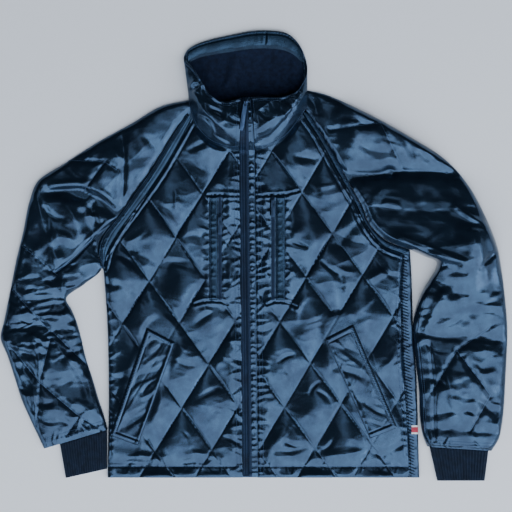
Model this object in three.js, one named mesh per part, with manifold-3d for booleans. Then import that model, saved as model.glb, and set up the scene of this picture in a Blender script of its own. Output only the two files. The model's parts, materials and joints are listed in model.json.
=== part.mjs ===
// Quilted riding jacket, laid out flat on its back with the front zip closed.
// Millimetres, +Z up. X runs across the jacket (the wearer's left is +X), Y runs from hem to collar.
// The jacket lies on the plane z = 0. Its origin is under the middle of the whole outline.
import * as THREE from "three";
import { mergeVertices } from "three/addons/utils/BufferGeometryUtils.js";
import Module from "manifold-3d";

const wasm = await Module();
wasm.setup();

// ---------------------------------------------------------------- driving dimensions
const SEAM_GAP = 0.3; // clear distance between two pieces at a seam
const BACK_WALL = 5.0; // padded back and under-sleeve, pressed flat by the weight above
const FRONT_INSIDE = BACK_WALL + SEAM_GAP; // height of the fronts' plain inside
const STITCHED_WALL = 3.2; // front wall where a quilting line holds it down
const BARE_EDGE = 1.2; // wall left where a front or the back's turning ends
const EDGE_RADIUS = 11; // roundness of a folded edge seen in section
const HEM_Y = -408;
const NECK_Y = 194; // bottom of the collar at the zip
const HEM_TURNING = 20; // height of the turned and stitched hem

const QUILT = { halfWidth: 52, halfHeight: 78.4, puff: 8.0, steps: 6 };
const QUILT_RIGHT = { knot: [-132.6, -280.4], leanDegrees: 2.0 };
const QUILT_LEFT = { knot: [103.8, -197.4], leanDegrees: 2.9 };

const COLLAR = { wall: 4.0, skin: 1.5, levels: 8 };
const SLEEVE = { wall: 8, edge: 2.5, crown: 9, flatness: 0.6, across: 10, perSection: 3, slot: 1.6 };
const CUFF = { ribs: 19, ribHeight: 1.0, height: 8.5, wall: 3, slot: 1.5, taper: 0.8 };
const ZIP = { halfTape: 14, halfChain: 3, tape: 1.6, chain: 2.4, topX: -12.5, hemX: -6.5, collarX: -13.5 };
const ZIP_HOLD = { reach: 22, share: 0.35 }; // how far from the tape, and to what, the padding is pressed
const CROWN = { band: 3, turning: 1.5 }; // rise in the middle of the raglan bands and of the turned edge
const WELT = { thickness: 2.2, chestZip: 1.8 };
const PLATEAU = { hand: 5.5, chest: 4.0, blend: 15 }; // padding left under the pocket welts

// ---------------------------------------------------------------- pattern tables
// Sections across each sleeve, neck to cuff: [outer x, outer y, inner x, inner y].
// The first eight inner points are the raglan seam, the last of them the underarm point.
const RAGLAN_ROWS = 8;
const SLEEVE_RIGHT = [
  [-125, 286, -123, 263],
  [-173, 273, -145, 231],
  [-226, 242, -191, 157],
  [-289, 207, -222, 113],
  [-350, 168, -250, 73],
  [-398, 136, -283, 30],
  [-413, 100, -287, 4],
  [-425, 42, -280, -24],
  [-438, -12, -312, -53],
  [-449, -69, -345, -79],
  [-460, -122, -335, -100],
  [-466, -152, -326, -122],
  [-454, -183, -318, -150],
  [-440, -225, -309, -189],
  [-427, -266, -296, -229],
  [-412, -300, -285, -266],
  [-398, -330, -276, -293],
  [-386, -355, -269, -320],
];
const SLEEVE_LEFT = [
  [101, 304, 104, 258],
  [131, 296, 125, 222],
  [175, 278, 149, 183],
  [230, 251, 180, 124],
  [290, 217, 199, 90],
  [350, 178, 212, 58],
  [394, 130, 244, 27],
  [422, 80, 288, 10],
  [447, 19, 314, -2],
  [456, -30, 336, -13],
  [462, -80, 306, -72],
  [466, -130, 293, -120],
  [465, -180, 294, -165],
  [462, -238, 299, -210],
  [460, -275, 303, -250],
  [456, -312, 305, -300],
  [450, -338, 310, -330],
  [437, -359, 318, -351],
];
// Body side of each raglan band, one row for each of the first eight sleeve sections: [x, y].
const BAND_RIGHT = [
  [-114, 250], [-137, 208], [-171, 150], [-200, 108], [-226, 73], [-250, 40], [-266, 12], [-276, -23],
];
const BAND_LEFT = [
  [93, 253], [112, 226], [136, 184], [163, 136], [184, 100], [203, 60], [236, 18], [273, 2],
];
// Folded or seamed edges of the body, underarm to hem: [x, y].
const SIDE_RIGHT = [[-277, -25], [-271, -100], [-268, -170], [-267, -266], [-268, -340], [-269, HEM_Y]];
const SIDE_LEFT = [
  [287, 6], [289, -27], [291, -82], [293, -155], [298, -211], [300, -266], [302, -339], [304, HEM_Y],
];
const SIDE_SEAM = [
  [273, 2], [269, -63], [270, -119], [272, -192], [278, -266], [282, -339], [285, HEM_Y],
];

// Sections of the collar from the zip round the wearer's right, the back and the left:
// seam x, y, z; free edge x, y, z; rise of the roll between them.
const COLLAR_SECTIONS = [
  [-26.5, 194, 10, -21, 290, 34, 24],
  [-53, 198, 10, -52, 282, 36, 24],
  [-75, 206, 10, -71, 288, 37, 23],
  [-90, 217, 10, -88, 306, 36, 22],
  [-104, 233, 11, -99, 326, 33, 18],
  [-113, 256, 12, -115, 347, 25, 8],
  [-119, 280, 9, -129, 361, 12, 3],
  [-118, 297, 3, -126, 374, 2, 0],
  [-102, 306, 0, -107, 387, 0, 0],
  [-72, 307, 0, -77, 397, 0, 0],
  [-40, 308, 0, -40, 405, 0, 0],
  [-8, 308, 0, -4, 412, 0, 0],
  [22, 308, 0, 31, 413, 0, 0],
  [52, 306, 0, 61, 408, 0, 0],
  [77, 303, 0, 80, 392, 0, 0],
  [95, 293, 3, 94, 367, 2, 0],
  [98, 277, 9, 98, 341, 12, 3],
  [91, 262, 12, 91, 320, 24, 8],
  [80, 246, 11, 81, 305, 31, 18],
  [67, 228, 10, 63, 294, 35, 22],
  [53, 213, 10, 42, 290, 36, 23],
  [38, 204, 10, 20, 291, 36, 24],
  [18, 197, 10, 6, 291, 35, 24],
  [1.5, 194, 10, -6, 290, 34, 24],
];
const COLLAR_BACK = [6, 16]; // rows between which the inside shows and is faced and lined

// Folds that the laid cloth keeps: [x0, y0, x1, y1, height (down if negative), half-width].
const FOLDS = [
  // wearer's right sleeve
  [-378, 115, -322, 114, -8, 13],
  [-322, 114, -258, 79, -7, 12],
  [-310, 78, -292, 36, -6, 12],
  [-398, 116, -374, 30, 5, 12],
  [-374, 30, -353, -54, 4, 11],
  [-300, 20, -362, -32, -4, 10],
  [-420, -18, -360, -30, -4, 8],
  [-440, -48, -352, -60, 4, 8],
  [-446, -78, -360, -88, -5, 8],
  [-456, -104, -350, -112, 4, 8],
  [-458, -128, -345, -136, -6, 8],
  [-452, -158, -340, -158, 4, 9],
  [-440, -188, -330, -180, -4, 9],
  // wearer's left sleeve
  [177, 146, 250, 154, -6, 13],
  [250, 154, 372, 150, -7, 14],
  [241, 94, 300, 84, 2, 8],
  [315, 84, 370, 86, 2, 8],
  [370, 86, 436, 50, 5, 12],
  [269, 20, 372, -26, 5, 10],
  [320, -38, 368, -66, -5, 14],
  [351, -63, 315, -133, 3, 8],
  [304, -142, 440, -154, -6, 10],
  [316, -180, 430, -176, 3, 10],
  [318, -318, 444, -324, -5, 9],
  // body, close to the armholes and the zip
  [-238, 14, -160, -20, -2, 10],
  [196, 60, 150, 20, -2, 10],
];
// Slanting planes beside the long fold of the wearer's left sleeve, each rising to the left of a stretch:
// [x0, y0, x1, y1, width, height].
const PLANES = [
  [380, 148, 190, 150, 115, 10],
  [190, 152, 400, 152, 75, 6],
];
const PLANE_FADE = 25; // how softly a plane ends beyond its stretch
// Single quilting seams on the sleeves: [x0, y0, x1, y1].
const SLEEVE_SEAMS = [
  [-357, 176, -274, 172], [-274, 172, -252, 157], [-274, 172, -311, 121], [-427, 19, -361, -36],
  [-445, -63, -375, -139], [-449, -165, -394, -233], [-394, -233, -324, -293], [-324, -293, -274, -325],
  [-375, -155, -394, -233], [140, 231, 232, 244], [232, 244, 274, 157], [372, -174, 434, -257],
  [372, -174, 326, -250], [434, -257, 396, -322], [372, -174, 440, -128],
];
const SLEEVE_SEAM = { depth: 3.5, halfWidth: 8 };
// Fullness of the padding along each sleeve's middle, by section, as a share of the crown.
const FULLNESS = [0.2, 0.5, 0.8, 1, 1, 1, 1, 1, 1, 0.9, 0.8, 0.8, 0.9, 1, 1, 0.9, 0.8, 0.6];

// Cuffs: where their sides leave the sleeve's end, as shares from its inner edge, and their free end.
const CUFF_RIGHT = { shares: [0.75, 0.01], end: [[-346, -409], [-270, -392]] };
const CUFF_LEFT = { shares: [0.04, 0.95], end: [[337, -414], [424, -414]] };

// Pocket welts by their four corners, and chest zips by their middle line.
const HAND_RIGHT = [[-197, -132], [-145, -159], [-213, -349], [-265, -330]];
const HAND_LEFT = [[131, -152], [182, -126], [263, -316], [213, -336]];
const CHEST = { top: 108, bottom: -82 };
const CHEST_RIGHT = { welt: [-82, -67], zip: [-65.4, -59.4], sliderY: 70 };
const CHEST_LEFT = { welt: [40, 57], zip: [32, 38], sliderY: 102 };

// Sliders and pull tabs; a tab may hang 4 degrees below level, and its cross bar is above the chain.
const MAIN_SLIDER = { x: -15, y: 281, skewDegrees: -9 };
const SLIDER = { width: 8.6, length: 14, plate: 1.2, arch: 1.2, archHalf: 1, archReach: 5.4, archTop: 5.8 };
const PULL = { width: 8, thickness: 1.5, barHalf: 3.4, armHalf: 2, arm: 8, lowestDegrees: -4 };
const PULL_LENGTH = { main: 54, chest: 32 };
const PIVOT_HEIGHT = 3.0;
const LABEL = { strip: [289, 304], low: -328, high: -312, thickness: 0.8 };

// ---------------------------------------------------------------- small helpers
const radians = THREE.MathUtils.degToRad;
const clamp = (value, low, high) => Math.min(high, Math.max(low, value));
const mix = (a, b, share) => a + (b - a) * share;
const smooth = (value) => THREE.MathUtils.smoothstep(value, 0, 1);

// Points along a smooth line through table rows, with the same number of steps between rows.
function through(rows, perRow) {
  const curve = new THREE.CatmullRomCurve3(rows.map(([x, y, z = 0]) => new THREE.Vector3(x, y, z)));
  return curve.getPoints((rows.length - 1) * perRow).map((p) => [p.x, p.y, p.z]);
}

// A line moved sideways in plan by a distance, to its left as it runs.
function beside(line, distance) {
  return line.map((point, i) => {
    const before = line[Math.max(i - 1, 0)];
    const after = line[Math.min(i + 1, line.length - 1)];
    const [dx, dy] = [after[0] - before[0], after[1] - before[1]];
    const length = Math.hypot(dx, dy);
    return [point[0] - (dy / length) * distance, point[1] + (dx / length) * distance];
  });
}

// The x of a line that runs mostly along Y, at a given y.
function xAt(line, y) {
  const rows = [...line].sort((a, b) => a[1] - b[1]);
  const above = Math.max(1, rows.findIndex((row) => row[1] >= y));
  const [low, high] = y > rows.at(-1)[1] ? [rows.at(-2), rows.at(-1)] : [rows[above - 1], rows[above]];
  return mix(low[0], high[0], clamp((y - low[1]) / (high[1] - low[1]), 0, 1));
}

// Distance from a point to a stretch, and how far along it the nearest point lies.
function fromStretch(x, y, [x0, y0, x1, y1]) {
  const [dx, dy] = [x1 - x0, y1 - y0];
  const along = clamp(((x - x0) * dx + (y - y0) * dy) / (dx * dx + dy * dy), 0, 1);
  return [Math.hypot(x - x0 - dx * along, y - y0 - dy * along), along];
}

// ---------------------------------------------------------------- height of the cloth
function foldHeight(x, y) {
  return FOLDS.reduce((sum, [x0, y0, x1, y1, height, halfWidth]) => {
    const [distance] = fromStretch(x, y, [x0, y0, x1, y1]);
    return sum + height * Math.exp(-((distance / halfWidth) ** 2));
  }, 0);
}

function planeHeight(x, y) {
  return PLANES.reduce((sum, [x0, y0, x1, y1, width, height]) => {
    const [dx, dy] = [x1 - x0, y1 - y0];
    const length = Math.hypot(dx, dy);
    const along = ((x - x0) * dx + (y - y0) * dy) / length;
    const aside = ((y - y0) * dx - (x - x0) * dy) / length;
    const beyond = Math.max(0, -along, along - length);
    return sum + height * clamp(aside / width, 0, 1) * Math.exp(-((beyond / PLANE_FADE) ** 2));
  }, 0);
}

function sleeveSeamDepth(x, y) {
  const nearest = Math.min(...SLEEVE_SEAMS.map((seam) => fromStretch(x, y, seam)[0]));
  return SLEEVE_SEAM.depth * Math.max(0, 1 - nearest / SLEEVE_SEAM.halfWidth);
}

// Rise of a rounded edge: a quarter circle that reaches its full height one radius in.
function rounded(distance) {
  const inward = clamp(distance / EDGE_RADIUS, 0, 1);
  return Math.sqrt(1 - (1 - inward) ** 2);
}

// Diamond axes of a quilted front: one step along each is half a diamond.
function quiltAxes({ leanDegrees }) {
  const lean = radians(leanDegrees);
  return {
    across: [QUILT.halfWidth * Math.cos(lean), QUILT.halfWidth * Math.sin(lean)],
    up: [-QUILT.halfHeight * Math.sin(lean), QUILT.halfHeight * Math.cos(lean)],
  };
}

// The plan point of lattice coordinates (u, v), whose whole numbers are the quilting lines.
function quiltPoint(quilt, u, v) {
  const { across, up } = quiltAxes(quilt);
  const [i, j] = [u + v, u - v];
  return [quilt.knot[0] + i * across[0] + j * up[0], quilt.knot[1] + i * across[1] + j * up[1]];
}

// Padding above the stitched wall at (u, v): an arch between the lines both ways.
function puff(u, v) {
  const arch = (value) => {
    const part = value - Math.floor(value);
    return Math.sqrt(Math.max(0, 4 * part * (1 - part)));
  };
  return QUILT.puff * arch(u) * arch(v);
}

const middle = (a, b) => [(a[0] + b[0]) / 2, (a[1] + b[1]) / 2];
const handAxis = ([a, b, c, d]) => [...middle(a, b), ...middle(d, c)];
const chestAxis = ({ welt, zip }) => {
  const x = (Math.min(...welt, ...zip) + Math.max(...welt, ...zip)) / 2;
  return [x, CHEST.top, x, CHEST.bottom];
};
const PLATEAUS = [
  { axis: handAxis(HAND_RIGHT), half: 27, height: PLATEAU.hand },
  { axis: handAxis(HAND_LEFT), half: 27, height: PLATEAU.hand },
  { axis: chestAxis(CHEST_RIGHT), half: 12, height: PLATEAU.chest },
  { axis: chestAxis(CHEST_LEFT), half: 13, height: PLATEAU.chest },
];

// Height of a front's outside: stitched wall, padding, pocket plateaus, hem and rounded sides.
function frontHeight(x, y, u, v) {
  let padding = puff(u, v);
  for (const { axis, half, height } of PLATEAUS) {
    const [distance] = fromStretch(x, y, axis);
    padding = mix(height, padding, smooth((distance - half) / PLATEAU.blend));
  }
  const hem = Math.abs(y - (HEM_Y + HEM_TURNING));
  padding *= smooth(hem / HEM_TURNING);
  const zipSide = Math.min(Math.abs(x - zipEdge(y, -1)), Math.abs(x - zipEdge(y, 1)));
  padding *= mix(ZIP_HOLD.share, 1, smooth(zipSide / ZIP_HOLD.reach));
  const side = y < 0 ? Math.min(x - xAt(SIDE_RIGHT, y), xAt(SIDE_LEFT, y) - x) : EDGE_RADIUS;
  const full = STITCHED_WALL + padding + foldHeight(x, y);
  return FRONT_INSIDE + BARE_EDGE + (full - BARE_EDGE) * rounded(Math.min(side, y - HEM_Y + 3));
}

// Middle of the zip on the body, and the edge of its tape to one side.
const zipX = (y) => mix(ZIP.hemX, ZIP.topX, clamp((y - HEM_Y) / (NECK_Y - HEM_Y), 0, 1));
const zipEdge = (y, side) => zipX(y) + side * ZIP.halfTape;

// ---------------------------------------------------------------- solids
// Closed triangles as a geometry, turned so that their faces point outwards.
function geometryFrom(positions, triangles) {
  const corner = (index) => new THREE.Vector3().fromArray(positions, 3 * index);
  let volume = 0;
  for (let i = 0; i < triangles.length; i += 3) {
    const [a, b, c] = [0, 1, 2].map((k) => corner(triangles[i + k]));
    volume += a.dot(b.cross(c));
  }
  const geometry = new THREE.BufferGeometry();
  geometry.setAttribute("position", new THREE.Float32BufferAttribute(positions, 3));
  geometry.setIndex(volume > 0 ? triangles : [...triangles].reverse());
  return geometry;
}

// A closed wall between two grids of points of the same size, outer rows over inner ones.
function wall(outer, inner) {
  const [rows, columns] = [outer.length, outer[0].length];
  const index = (side, i, j) => side * rows * columns + i * columns + j;
  const triangles = [];
  const quad = (a, b, c, d) => triangles.push(a, b, c, a, c, d);
  for (let i = 0; i < rows - 1; i++) {
    for (let j = 0; j < columns - 1; j++) {
      quad(index(0, i, j), index(0, i + 1, j), index(0, i + 1, j + 1), index(0, i, j + 1));
      quad(index(1, i, j), index(1, i, j + 1), index(1, i + 1, j + 1), index(1, i + 1, j));
    }
  }
  for (let i = 0; i < rows - 1; i++) {
    quad(index(0, i, 0), index(1, i, 0), index(1, i + 1, 0), index(0, i + 1, 0));
    const last = columns - 1;
    quad(index(0, i, last), index(0, i + 1, last), index(1, i + 1, last), index(1, i, last));
  }
  for (let j = 0; j < columns - 1; j++) {
    quad(index(0, 0, j), index(0, 0, j + 1), index(1, 0, j + 1), index(1, 0, j));
    const last = rows - 1;
    quad(index(0, last, j), index(1, last, j), index(1, last, j + 1), index(0, last, j + 1));
  }
  return geometryFrom([...outer.flat(2), ...inner.flat(2)], triangles);
}

const atHeight = (grid, height) => grid.map((row) => row.map(([x, y]) => [x, y, height]));
const raised = (grid, by) => grid.map((row) => row.map(([x, y, z]) => [x, y, z + by]));

// A grid moved along its own normals.
function movedOut(grid, distance) {
  const at = (i, j) => {
    const row = grid[clamp(i, 0, grid.length - 1)];
    return new THREE.Vector3(...row[clamp(j, 0, row.length - 1)]);
  };
  return grid.map((row, i) => row.map((point, j) => {
    const along = at(i + 1, j).sub(at(i - 1, j));
    const across = at(i, j + 1).sub(at(i, j - 1));
    const normal = along.cross(across).normalize().multiplyScalar(distance);
    return new THREE.Vector3(...point).add(normal).toArray();
  }));
}

function toSolid(geometry) {
  const bare = geometry.clone();
  bare.deleteAttribute("normal");
  bare.deleteAttribute("uv");
  const merged = mergeVertices(bare, 1e-4);
  const mesh = new wasm.Mesh({
    numProp: 3,
    vertProperties: new Float32Array(merged.attributes.position.array),
    triVerts: new Uint32Array(merged.index.array),
  });
  return new wasm.Manifold(mesh);
}

function fromSolid(solid) {
  const mesh = solid.getMesh();
  return geometryFrom(Array.from(mesh.vertProperties), Array.from(mesh.triVerts));
}

// A heightfield with a plain flat underside: its grid down to a level that is then cut off.
function flatUnder(grid, level) {
  const deeper = toSolid(wall(grid, atHeight(grid, level - 3)));
  return deeper.trimByPlane([0, 0, 1], level);
}

// A plan outline as a solid between two heights, drawn in from the seam by half the gap.
function prism(outline, low = -10, high = 90) {
  const anticlockwise = THREE.ShapeUtils.area(outline.map(([x, y]) => new THREE.Vector2(x, y))) > 0;
  const turn = anticlockwise ? outline : [...outline].reverse();
  const closed = [turn.at(-1), ...turn, turn[0]];
  const inset = beside(closed, SEAM_GAP / 2).slice(1, -1);
  const shape = new THREE.Shape(inset.map(([x, y]) => new THREE.Vector2(x, y)));
  const geometry = new THREE.ExtrudeGeometry(shape, { depth: high - low, bevelEnabled: false });
  return toSolid(geometry.translate(0, 0, low));
}

// ---------------------------------------------------------------- shared lines
const sections = { right: SLEEVE_RIGHT, left: SLEEVE_LEFT };
const sleeveLine = (side, first) =>
  through(sections[side].map((row) => row.slice(first, first + 2)), SLEEVE.perSection);
const raglanCount = (RAGLAN_ROWS - 1) * SLEEVE.perSection + 1;
const raglanOuter = (side) => sleeveLine(side, 2).slice(0, raglanCount);
const raglanInner = {
  right: through(BAND_RIGHT, SLEEVE.perSection),
  left: through(BAND_LEFT, SLEEVE.perSection),
};
const sideRight = through(SIDE_RIGHT, 3);
const sideLeft = through(SIDE_LEFT, 3);
const sideSeam = through(SIDE_SEAM, 3);
const neckSeam = (from, to) =>
  through(COLLAR_SECTIONS.slice(from, to), 2).map(([x, y]) => [x, y - SEAM_GAP]);

// ---------------------------------------------------------------- body
// The whole quilted cloth of one side, as a grid on the lattice that covers its outline.
function quiltGrid(quilt, outline) {
  const { across, up } = quiltAxes(quilt);
  const scale = across[0] * up[1] - across[1] * up[0];
  const lattice = outline.map(([x, y]) => {
    const [dx, dy] = [x - quilt.knot[0], y - quilt.knot[1]];
    const i = (dx * up[1] - dy * up[0]) / scale;
    const j = (dy * across[0] - dx * across[1]) / scale;
    return [(i + j) / 2, (i - j) / 2];
  });
  const range = (axis) => {
    const values = lattice.map((point) => point[axis]);
    const low = Math.floor(Math.min(...values) * QUILT.steps) - 1;
    const high = Math.ceil(Math.max(...values) * QUILT.steps) + 1;
    return Array.from({ length: high - low + 1 }, (_, k) => (low + k) / QUILT.steps);
  };
  return range(0).map((u) => range(1).map((v) => {
    const [x, y] = quiltPoint(quilt, u, v);
    return [x, y, frontHeight(x, y, u, v)];
  }));
}

function frontOutline(side) {
  const sign = side === "right" ? -1 : 1;
  const zipLine = [HEM_Y, NECK_Y].map((y) => [zipEdge(y, sign), y]);
  if (side === "right") {
    return [...raglanInner.right, ...sideRight.slice(1), ...zipLine, ...neckSeam(0, 6).slice(1, -1)];
  }
  return [...raglanInner.left, ...sideSeam.slice(1), ...zipLine, ...neckSeam(18, 24).reverse().slice(1)];
}

const fronts = {
  right: quiltGrid(QUILT_RIGHT, frontOutline("right")),
  left: quiltGrid(QUILT_LEFT, frontOutline("left")),
};

function makeFront(side) {
  const cloth = toSolid(wall(fronts[side], atHeight(fronts[side], 0)));
  return fromSolid(cloth.intersect(prism(frontOutline(side), FRONT_INSIDE)));
}

// What lies on a front: its own grid moved up, cut to the piece's outline.
function onFront(side, outline, thickness) {
  const over = fronts[side];
  const cloth = toSolid(wall(raised(over, SEAM_GAP + thickness), raised(over, SEAM_GAP)));
  return fromSolid(cloth.intersect(prism(outline)));
}

// Strip of the back that turns over to the front at the wearer's left side.
function turnedEdge() {
  const columns = 4;
  return sideSeam.map(([x0, y]) => {
    const [from, to] = [x0 + SEAM_GAP, xAt(SIDE_LEFT, y)];
    return Array.from({ length: columns + 1 }, (_, k) => {
      const x = mix(from, to, k / columns);
      const crown = Math.sin((Math.PI * k) / columns) * CROWN.turning;
      return [x, y, FRONT_INSIDE + BARE_EDGE + (STITCHED_WALL + crown) * rounded(to - x)];
    });
  });
}

function makeBack() {
  const nape = neckSeam(8, 15).filter((_, i) => i % 2 === 0);
  const neck = [[-112, 272], [-106, 298], ...nape, [88, 290], [88, 268]];
  const outline = [
    ...raglanOuter("right"), ...sideRight.slice(1), ...[...sideLeft].reverse(),
    ...raglanOuter("left").reverse(), ...neck.reverse(),
  ];
  const strip = turnedEdge();
  const turned = toSolid(wall(strip, atHeight(strip, BACK_WALL - 2)));
  return fromSolid(prism(outline, 0, BACK_WALL).add(turned));
}

// ---------------------------------------------------------------- sleeves, bands and cuffs
function makeBand(side) {
  const inward = side === "right" ? SEAM_GAP / 2 : -SEAM_GAP / 2;
  const outer = beside(raglanOuter(side), inward);
  const inner = beside(raglanInner[side], -inward);
  const across = 4;
  const grid = outer.map(([x, y], i) => Array.from({ length: across + 1 }, (_, k) => {
    const share = k / across;
    const [px, py] = [mix(x, inner[i][0], share), mix(y, inner[i][1], share)];
    return [px, py, FRONT_INSIDE + STITCHED_WALL + CROWN.band * Math.sin(Math.PI * share)];
  }));
  return fromSolid(flatUnder(grid, FRONT_INSIDE));
}

// Outside of a sleeve: a crown between its two edges, with folds and quilting seams.
function sleeveGrid(side) {
  const outward = side === "right" ? -SEAM_GAP / 2 : SEAM_GAP / 2;
  const outer = sleeveLine(side, 0);
  const inner = beside(sleeveLine(side, 2), outward);
  return outer.map(([ox, oy], i) => {
    const [ix, iy] = inner[i];
    const width = Math.hypot(ox - ix, oy - iy);
    const fullness = FULLNESS[Math.min(Math.round(i / SLEEVE.perSection), FULLNESS.length - 1)];
    const seamSide = i < raglanCount ? 1 : 0;
    return Array.from({ length: SLEEVE.across + 1 }, (_, k) => {
      const share = (1 - Math.cos((Math.PI * k) / SLEEVE.across)) / 2;
      const [x, y] = [mix(ix, ox, share), mix(iy, oy, share)];
      const crown = SLEEVE.crown * fullness * (4 * share * (1 - share)) ** SLEEVE.flatness;
      const edge = Math.min(seamSide ? EDGE_RADIUS : share * width, (1 - share) * width);
      const full = SLEEVE.wall + crown + foldHeight(x, y) + planeHeight(x, y) - sleeveSeamDepth(x, y);
      return [x, y, SLEEVE.edge + Math.max(SLEEVE.wall / 2, full - SLEEVE.edge) * rounded(edge)];
    });
  });
}

// Thin hollow of a flattened tube in plan, running out at both ends: pairs of edge points.
function hollow(pairs, low, high) {
  const beyond = (end, before) => end.map(([x, y], k) =>
    [mix(before[k][0], x, 1.1), mix(before[k][1], y, 1.1)]);
  const plan = [beyond(pairs[0], pairs[1]), ...pairs, beyond(pairs.at(-1), pairs.at(-2))];
  return toSolid(wall(atHeight(plan, high), atHeight(plan, low)));
}

// The sleeve is open along the raglan seam and at the wrist, and folded along its other edges.
function makeSleeve(side) {
  const grid = sleeveGrid(side);
  const pairs = grid.map((row, i) => {
    const open = row[0].map((value, axis) => mix(row[2][axis], value, 1.5));
    return [i < raglanCount - SLEEVE.perSection ? open : row[2], row.at(-3)];
  });
  const sectionPairs = pairs.filter((_, i) => i > 0 && i % SLEEVE.perSection === 0);
  const slot = hollow(sectionPairs, BACK_WALL, BACK_WALL + SLEEVE.slot);
  return fromSolid(flatUnder(grid, 0).subtract(slot));
}

// Rib-knit cuff between its seam with the sleeve and its free end.
function makeCuff(side, { shares, end }) {
  const [ox, oy, ix, iy] = sections[side].at(-1);
  const seam = shares.map((share) => [mix(ix, ox, share), mix(iy, oy, share) - 1.5 * SEAM_GAP]);
  const columns = CUFF.ribs * 2;
  const rows = [seam, end].map(([left, right], i) => Array.from({ length: columns + 1 }, (_, k) => {
    const share = k / columns;
    const x = mix(left[0], right[0], share);
    const y = mix(left[1], right[1], share);
    const edge = rounded(Math.min(share, 1 - share) * Math.abs(right[0] - left[0]));
    const full = CUFF.height + (k % 2) * CUFF.ribHeight - i * CUFF.taper;
    return [x, y, CUFF.wall + (full - CUFF.wall) * edge];
  }));
  const slot = hollow(rows.map((row) => [row[4], row.at(-5)]), CUFF.wall, CUFF.wall + CUFF.slot);
  return fromSolid(flatUnder(rows, 0).subtract(slot));
}

// ---------------------------------------------------------------- collar
// Point of the collar on a section, from its seam (0) to its free edge (1).
function collarPoint([sx, sy, sz, ex, ey, ez, roll], share) {
  const lift = roll * Math.sin(Math.PI * share ** 0.7);
  return [mix(sx, ex, share), mix(sy, ey, share), mix(sz, ez, share) + lift];
}

// All seven columns of the table, smoothed as one line between its rows.
function collarSections() {
  const perRow = 2;
  const seams = through(COLLAR_SECTIONS.map((row) => row.slice(0, 3)), perRow);
  const edges = through(COLLAR_SECTIONS.map((row) => row.slice(3, 6)), perRow);
  const rolls = through(COLLAR_SECTIONS.map((row) => [row[6], 0]), perRow);
  return seams.map((seam, i) => [...seam, ...edges[i], rolls[i][0]]);
}

const collarGrid = collarSections().map((section) =>
  Array.from({ length: COLLAR.levels + 1 }, (_, k) => {
    const [x, y, z] = collarPoint(section, k / COLLAR.levels);
    return [x, y, Math.max(0, z)];
  }));

const makeCollar = () => wall(collarGrid, movedOut(collarGrid, COLLAR.wall));

function insideCollar(levels) {
  const [from, to] = COLLAR_BACK.map((row) => row * 2);
  const inside = movedOut(collarGrid, COLLAR.wall + SEAM_GAP).slice(from, to + 1);
  const part = inside.map((row) => row.slice(levels[0], levels[1] + 1));
  return wall(part, movedOut(part, COLLAR.skin));
}

// ---------------------------------------------------------------- centre front zip
// Side view of the zip: up the body, over the neck seam and up the collar: [y, z].
function zipProfile() {
  const steps = 15;
  const body = Array.from({ length: steps + 1 }, (_, k) =>
    [mix(HEM_Y + 2, NECK_Y - 6, k / steps), FRONT_INSIDE + ZIP.tape]);
  const section = COLLAR_SECTIONS[0];
  const collar = Array.from({ length: COLLAR.levels + 1 }, (_, k) => {
    const [, y, z] = collarPoint(section, k / COLLAR.levels);
    return [y, z];
  });
  return [...body, ...collar];
}

const collarEdgeX = (y, side) => {
  const section = side < 0 ? COLLAR_SECTIONS[0] : COLLAR_SECTIONS.at(-1);
  return mix(section[0], section[3], clamp((y - NECK_Y) / (section[4] - NECK_Y), 0, 1));
};
const tapeEdge = (y, side) => (y < NECK_Y ? zipEdge(y, side) : collarEdgeX(y, side)) - side * SEAM_GAP;
const collarTop = COLLAR_SECTIONS[0][4];
const chainX = (y) =>
  (y < NECK_Y ? zipX(y) : mix(zipX(NECK_Y), ZIP.collarX, (y - NECK_Y) / (collarTop - NECK_Y)));

function zipGrid(edges) {
  return zipProfile().map(([y, z]) => edges(y).map((x) => [x, y, z]));
}

function makeTape(side) {
  const grid = zipGrid((y) => {
    const [outer, inner] = [tapeEdge(y, side), chainX(y) + side * SEAM_GAP];
    return side < 0 ? [outer, inner] : [inner, outer];
  });
  return wall(grid, movedOut(grid, ZIP.tape));
}

function makeChain() {
  const grid = zipGrid((y) => [chainX(y) - ZIP.halfChain, chainX(y) + ZIP.halfChain]);
  return wall(movedOut(grid, -SEAM_GAP - ZIP.chain), movedOut(grid, -SEAM_GAP));
}

// ---------------------------------------------------------------- sliders and pull tabs
function block(x0, x1, y0, y1, z0, z1) {
  const box = new THREE.BoxGeometry(x1 - x0, y1 - y0, z1 - z0);
  return toSolid(box.translate((x0 + x1) / 2, (y0 + y1) / 2, (z0 + z1) / 2));
}

// Slider over the chain, with the bridge that holds the pull tab: local origin on the chain.
function makeSlider() {
  const [half, reach] = [SLIDER.width / 2, SLIDER.length / 2];
  const [bottom, top] = [SEAM_GAP, SEAM_GAP + SLIDER.plate];
  const { arch, archHalf, archReach, archTop } = SLIDER;
  const foot = top - 0.2; // sunk into the plate, so that they join
  const pieces = [
    block(-half, half, -reach, reach, bottom, top),
    block(-archHalf, archHalf, -archReach, -archReach + arch, foot, archTop),
    block(-archHalf, archHalf, archReach - arch, archReach, foot, archTop),
    block(-archHalf, archHalf, -archReach, archReach, archTop - arch, archTop),
  ];
  return fromSolid(pieces.reduce((all, piece) => all.add(piece)));
}

// Pull tab: a cross bar under the bridge, two arms beside it and the tab. Local origin on the bar.
function makePull(length) {
  const half = PULL.thickness / 2;
  const { barHalf, armHalf, arm, width } = PULL;
  const overlap = 0.5; // of the tab over its arms, so that they join
  const pieces = [
    block(-barHalf, barHalf, -half, half, -half, half),
    block(-barHalf, -armHalf, -arm, 0, -half, half),
    block(armHalf, barHalf, -arm, 0, -half, half),
    block(-width / 2, width / 2, -length, -arm + overlap, -half, half),
  ];
  return fromSolid(pieces.reduce((all, piece) => all.add(piece)));
}

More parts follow.
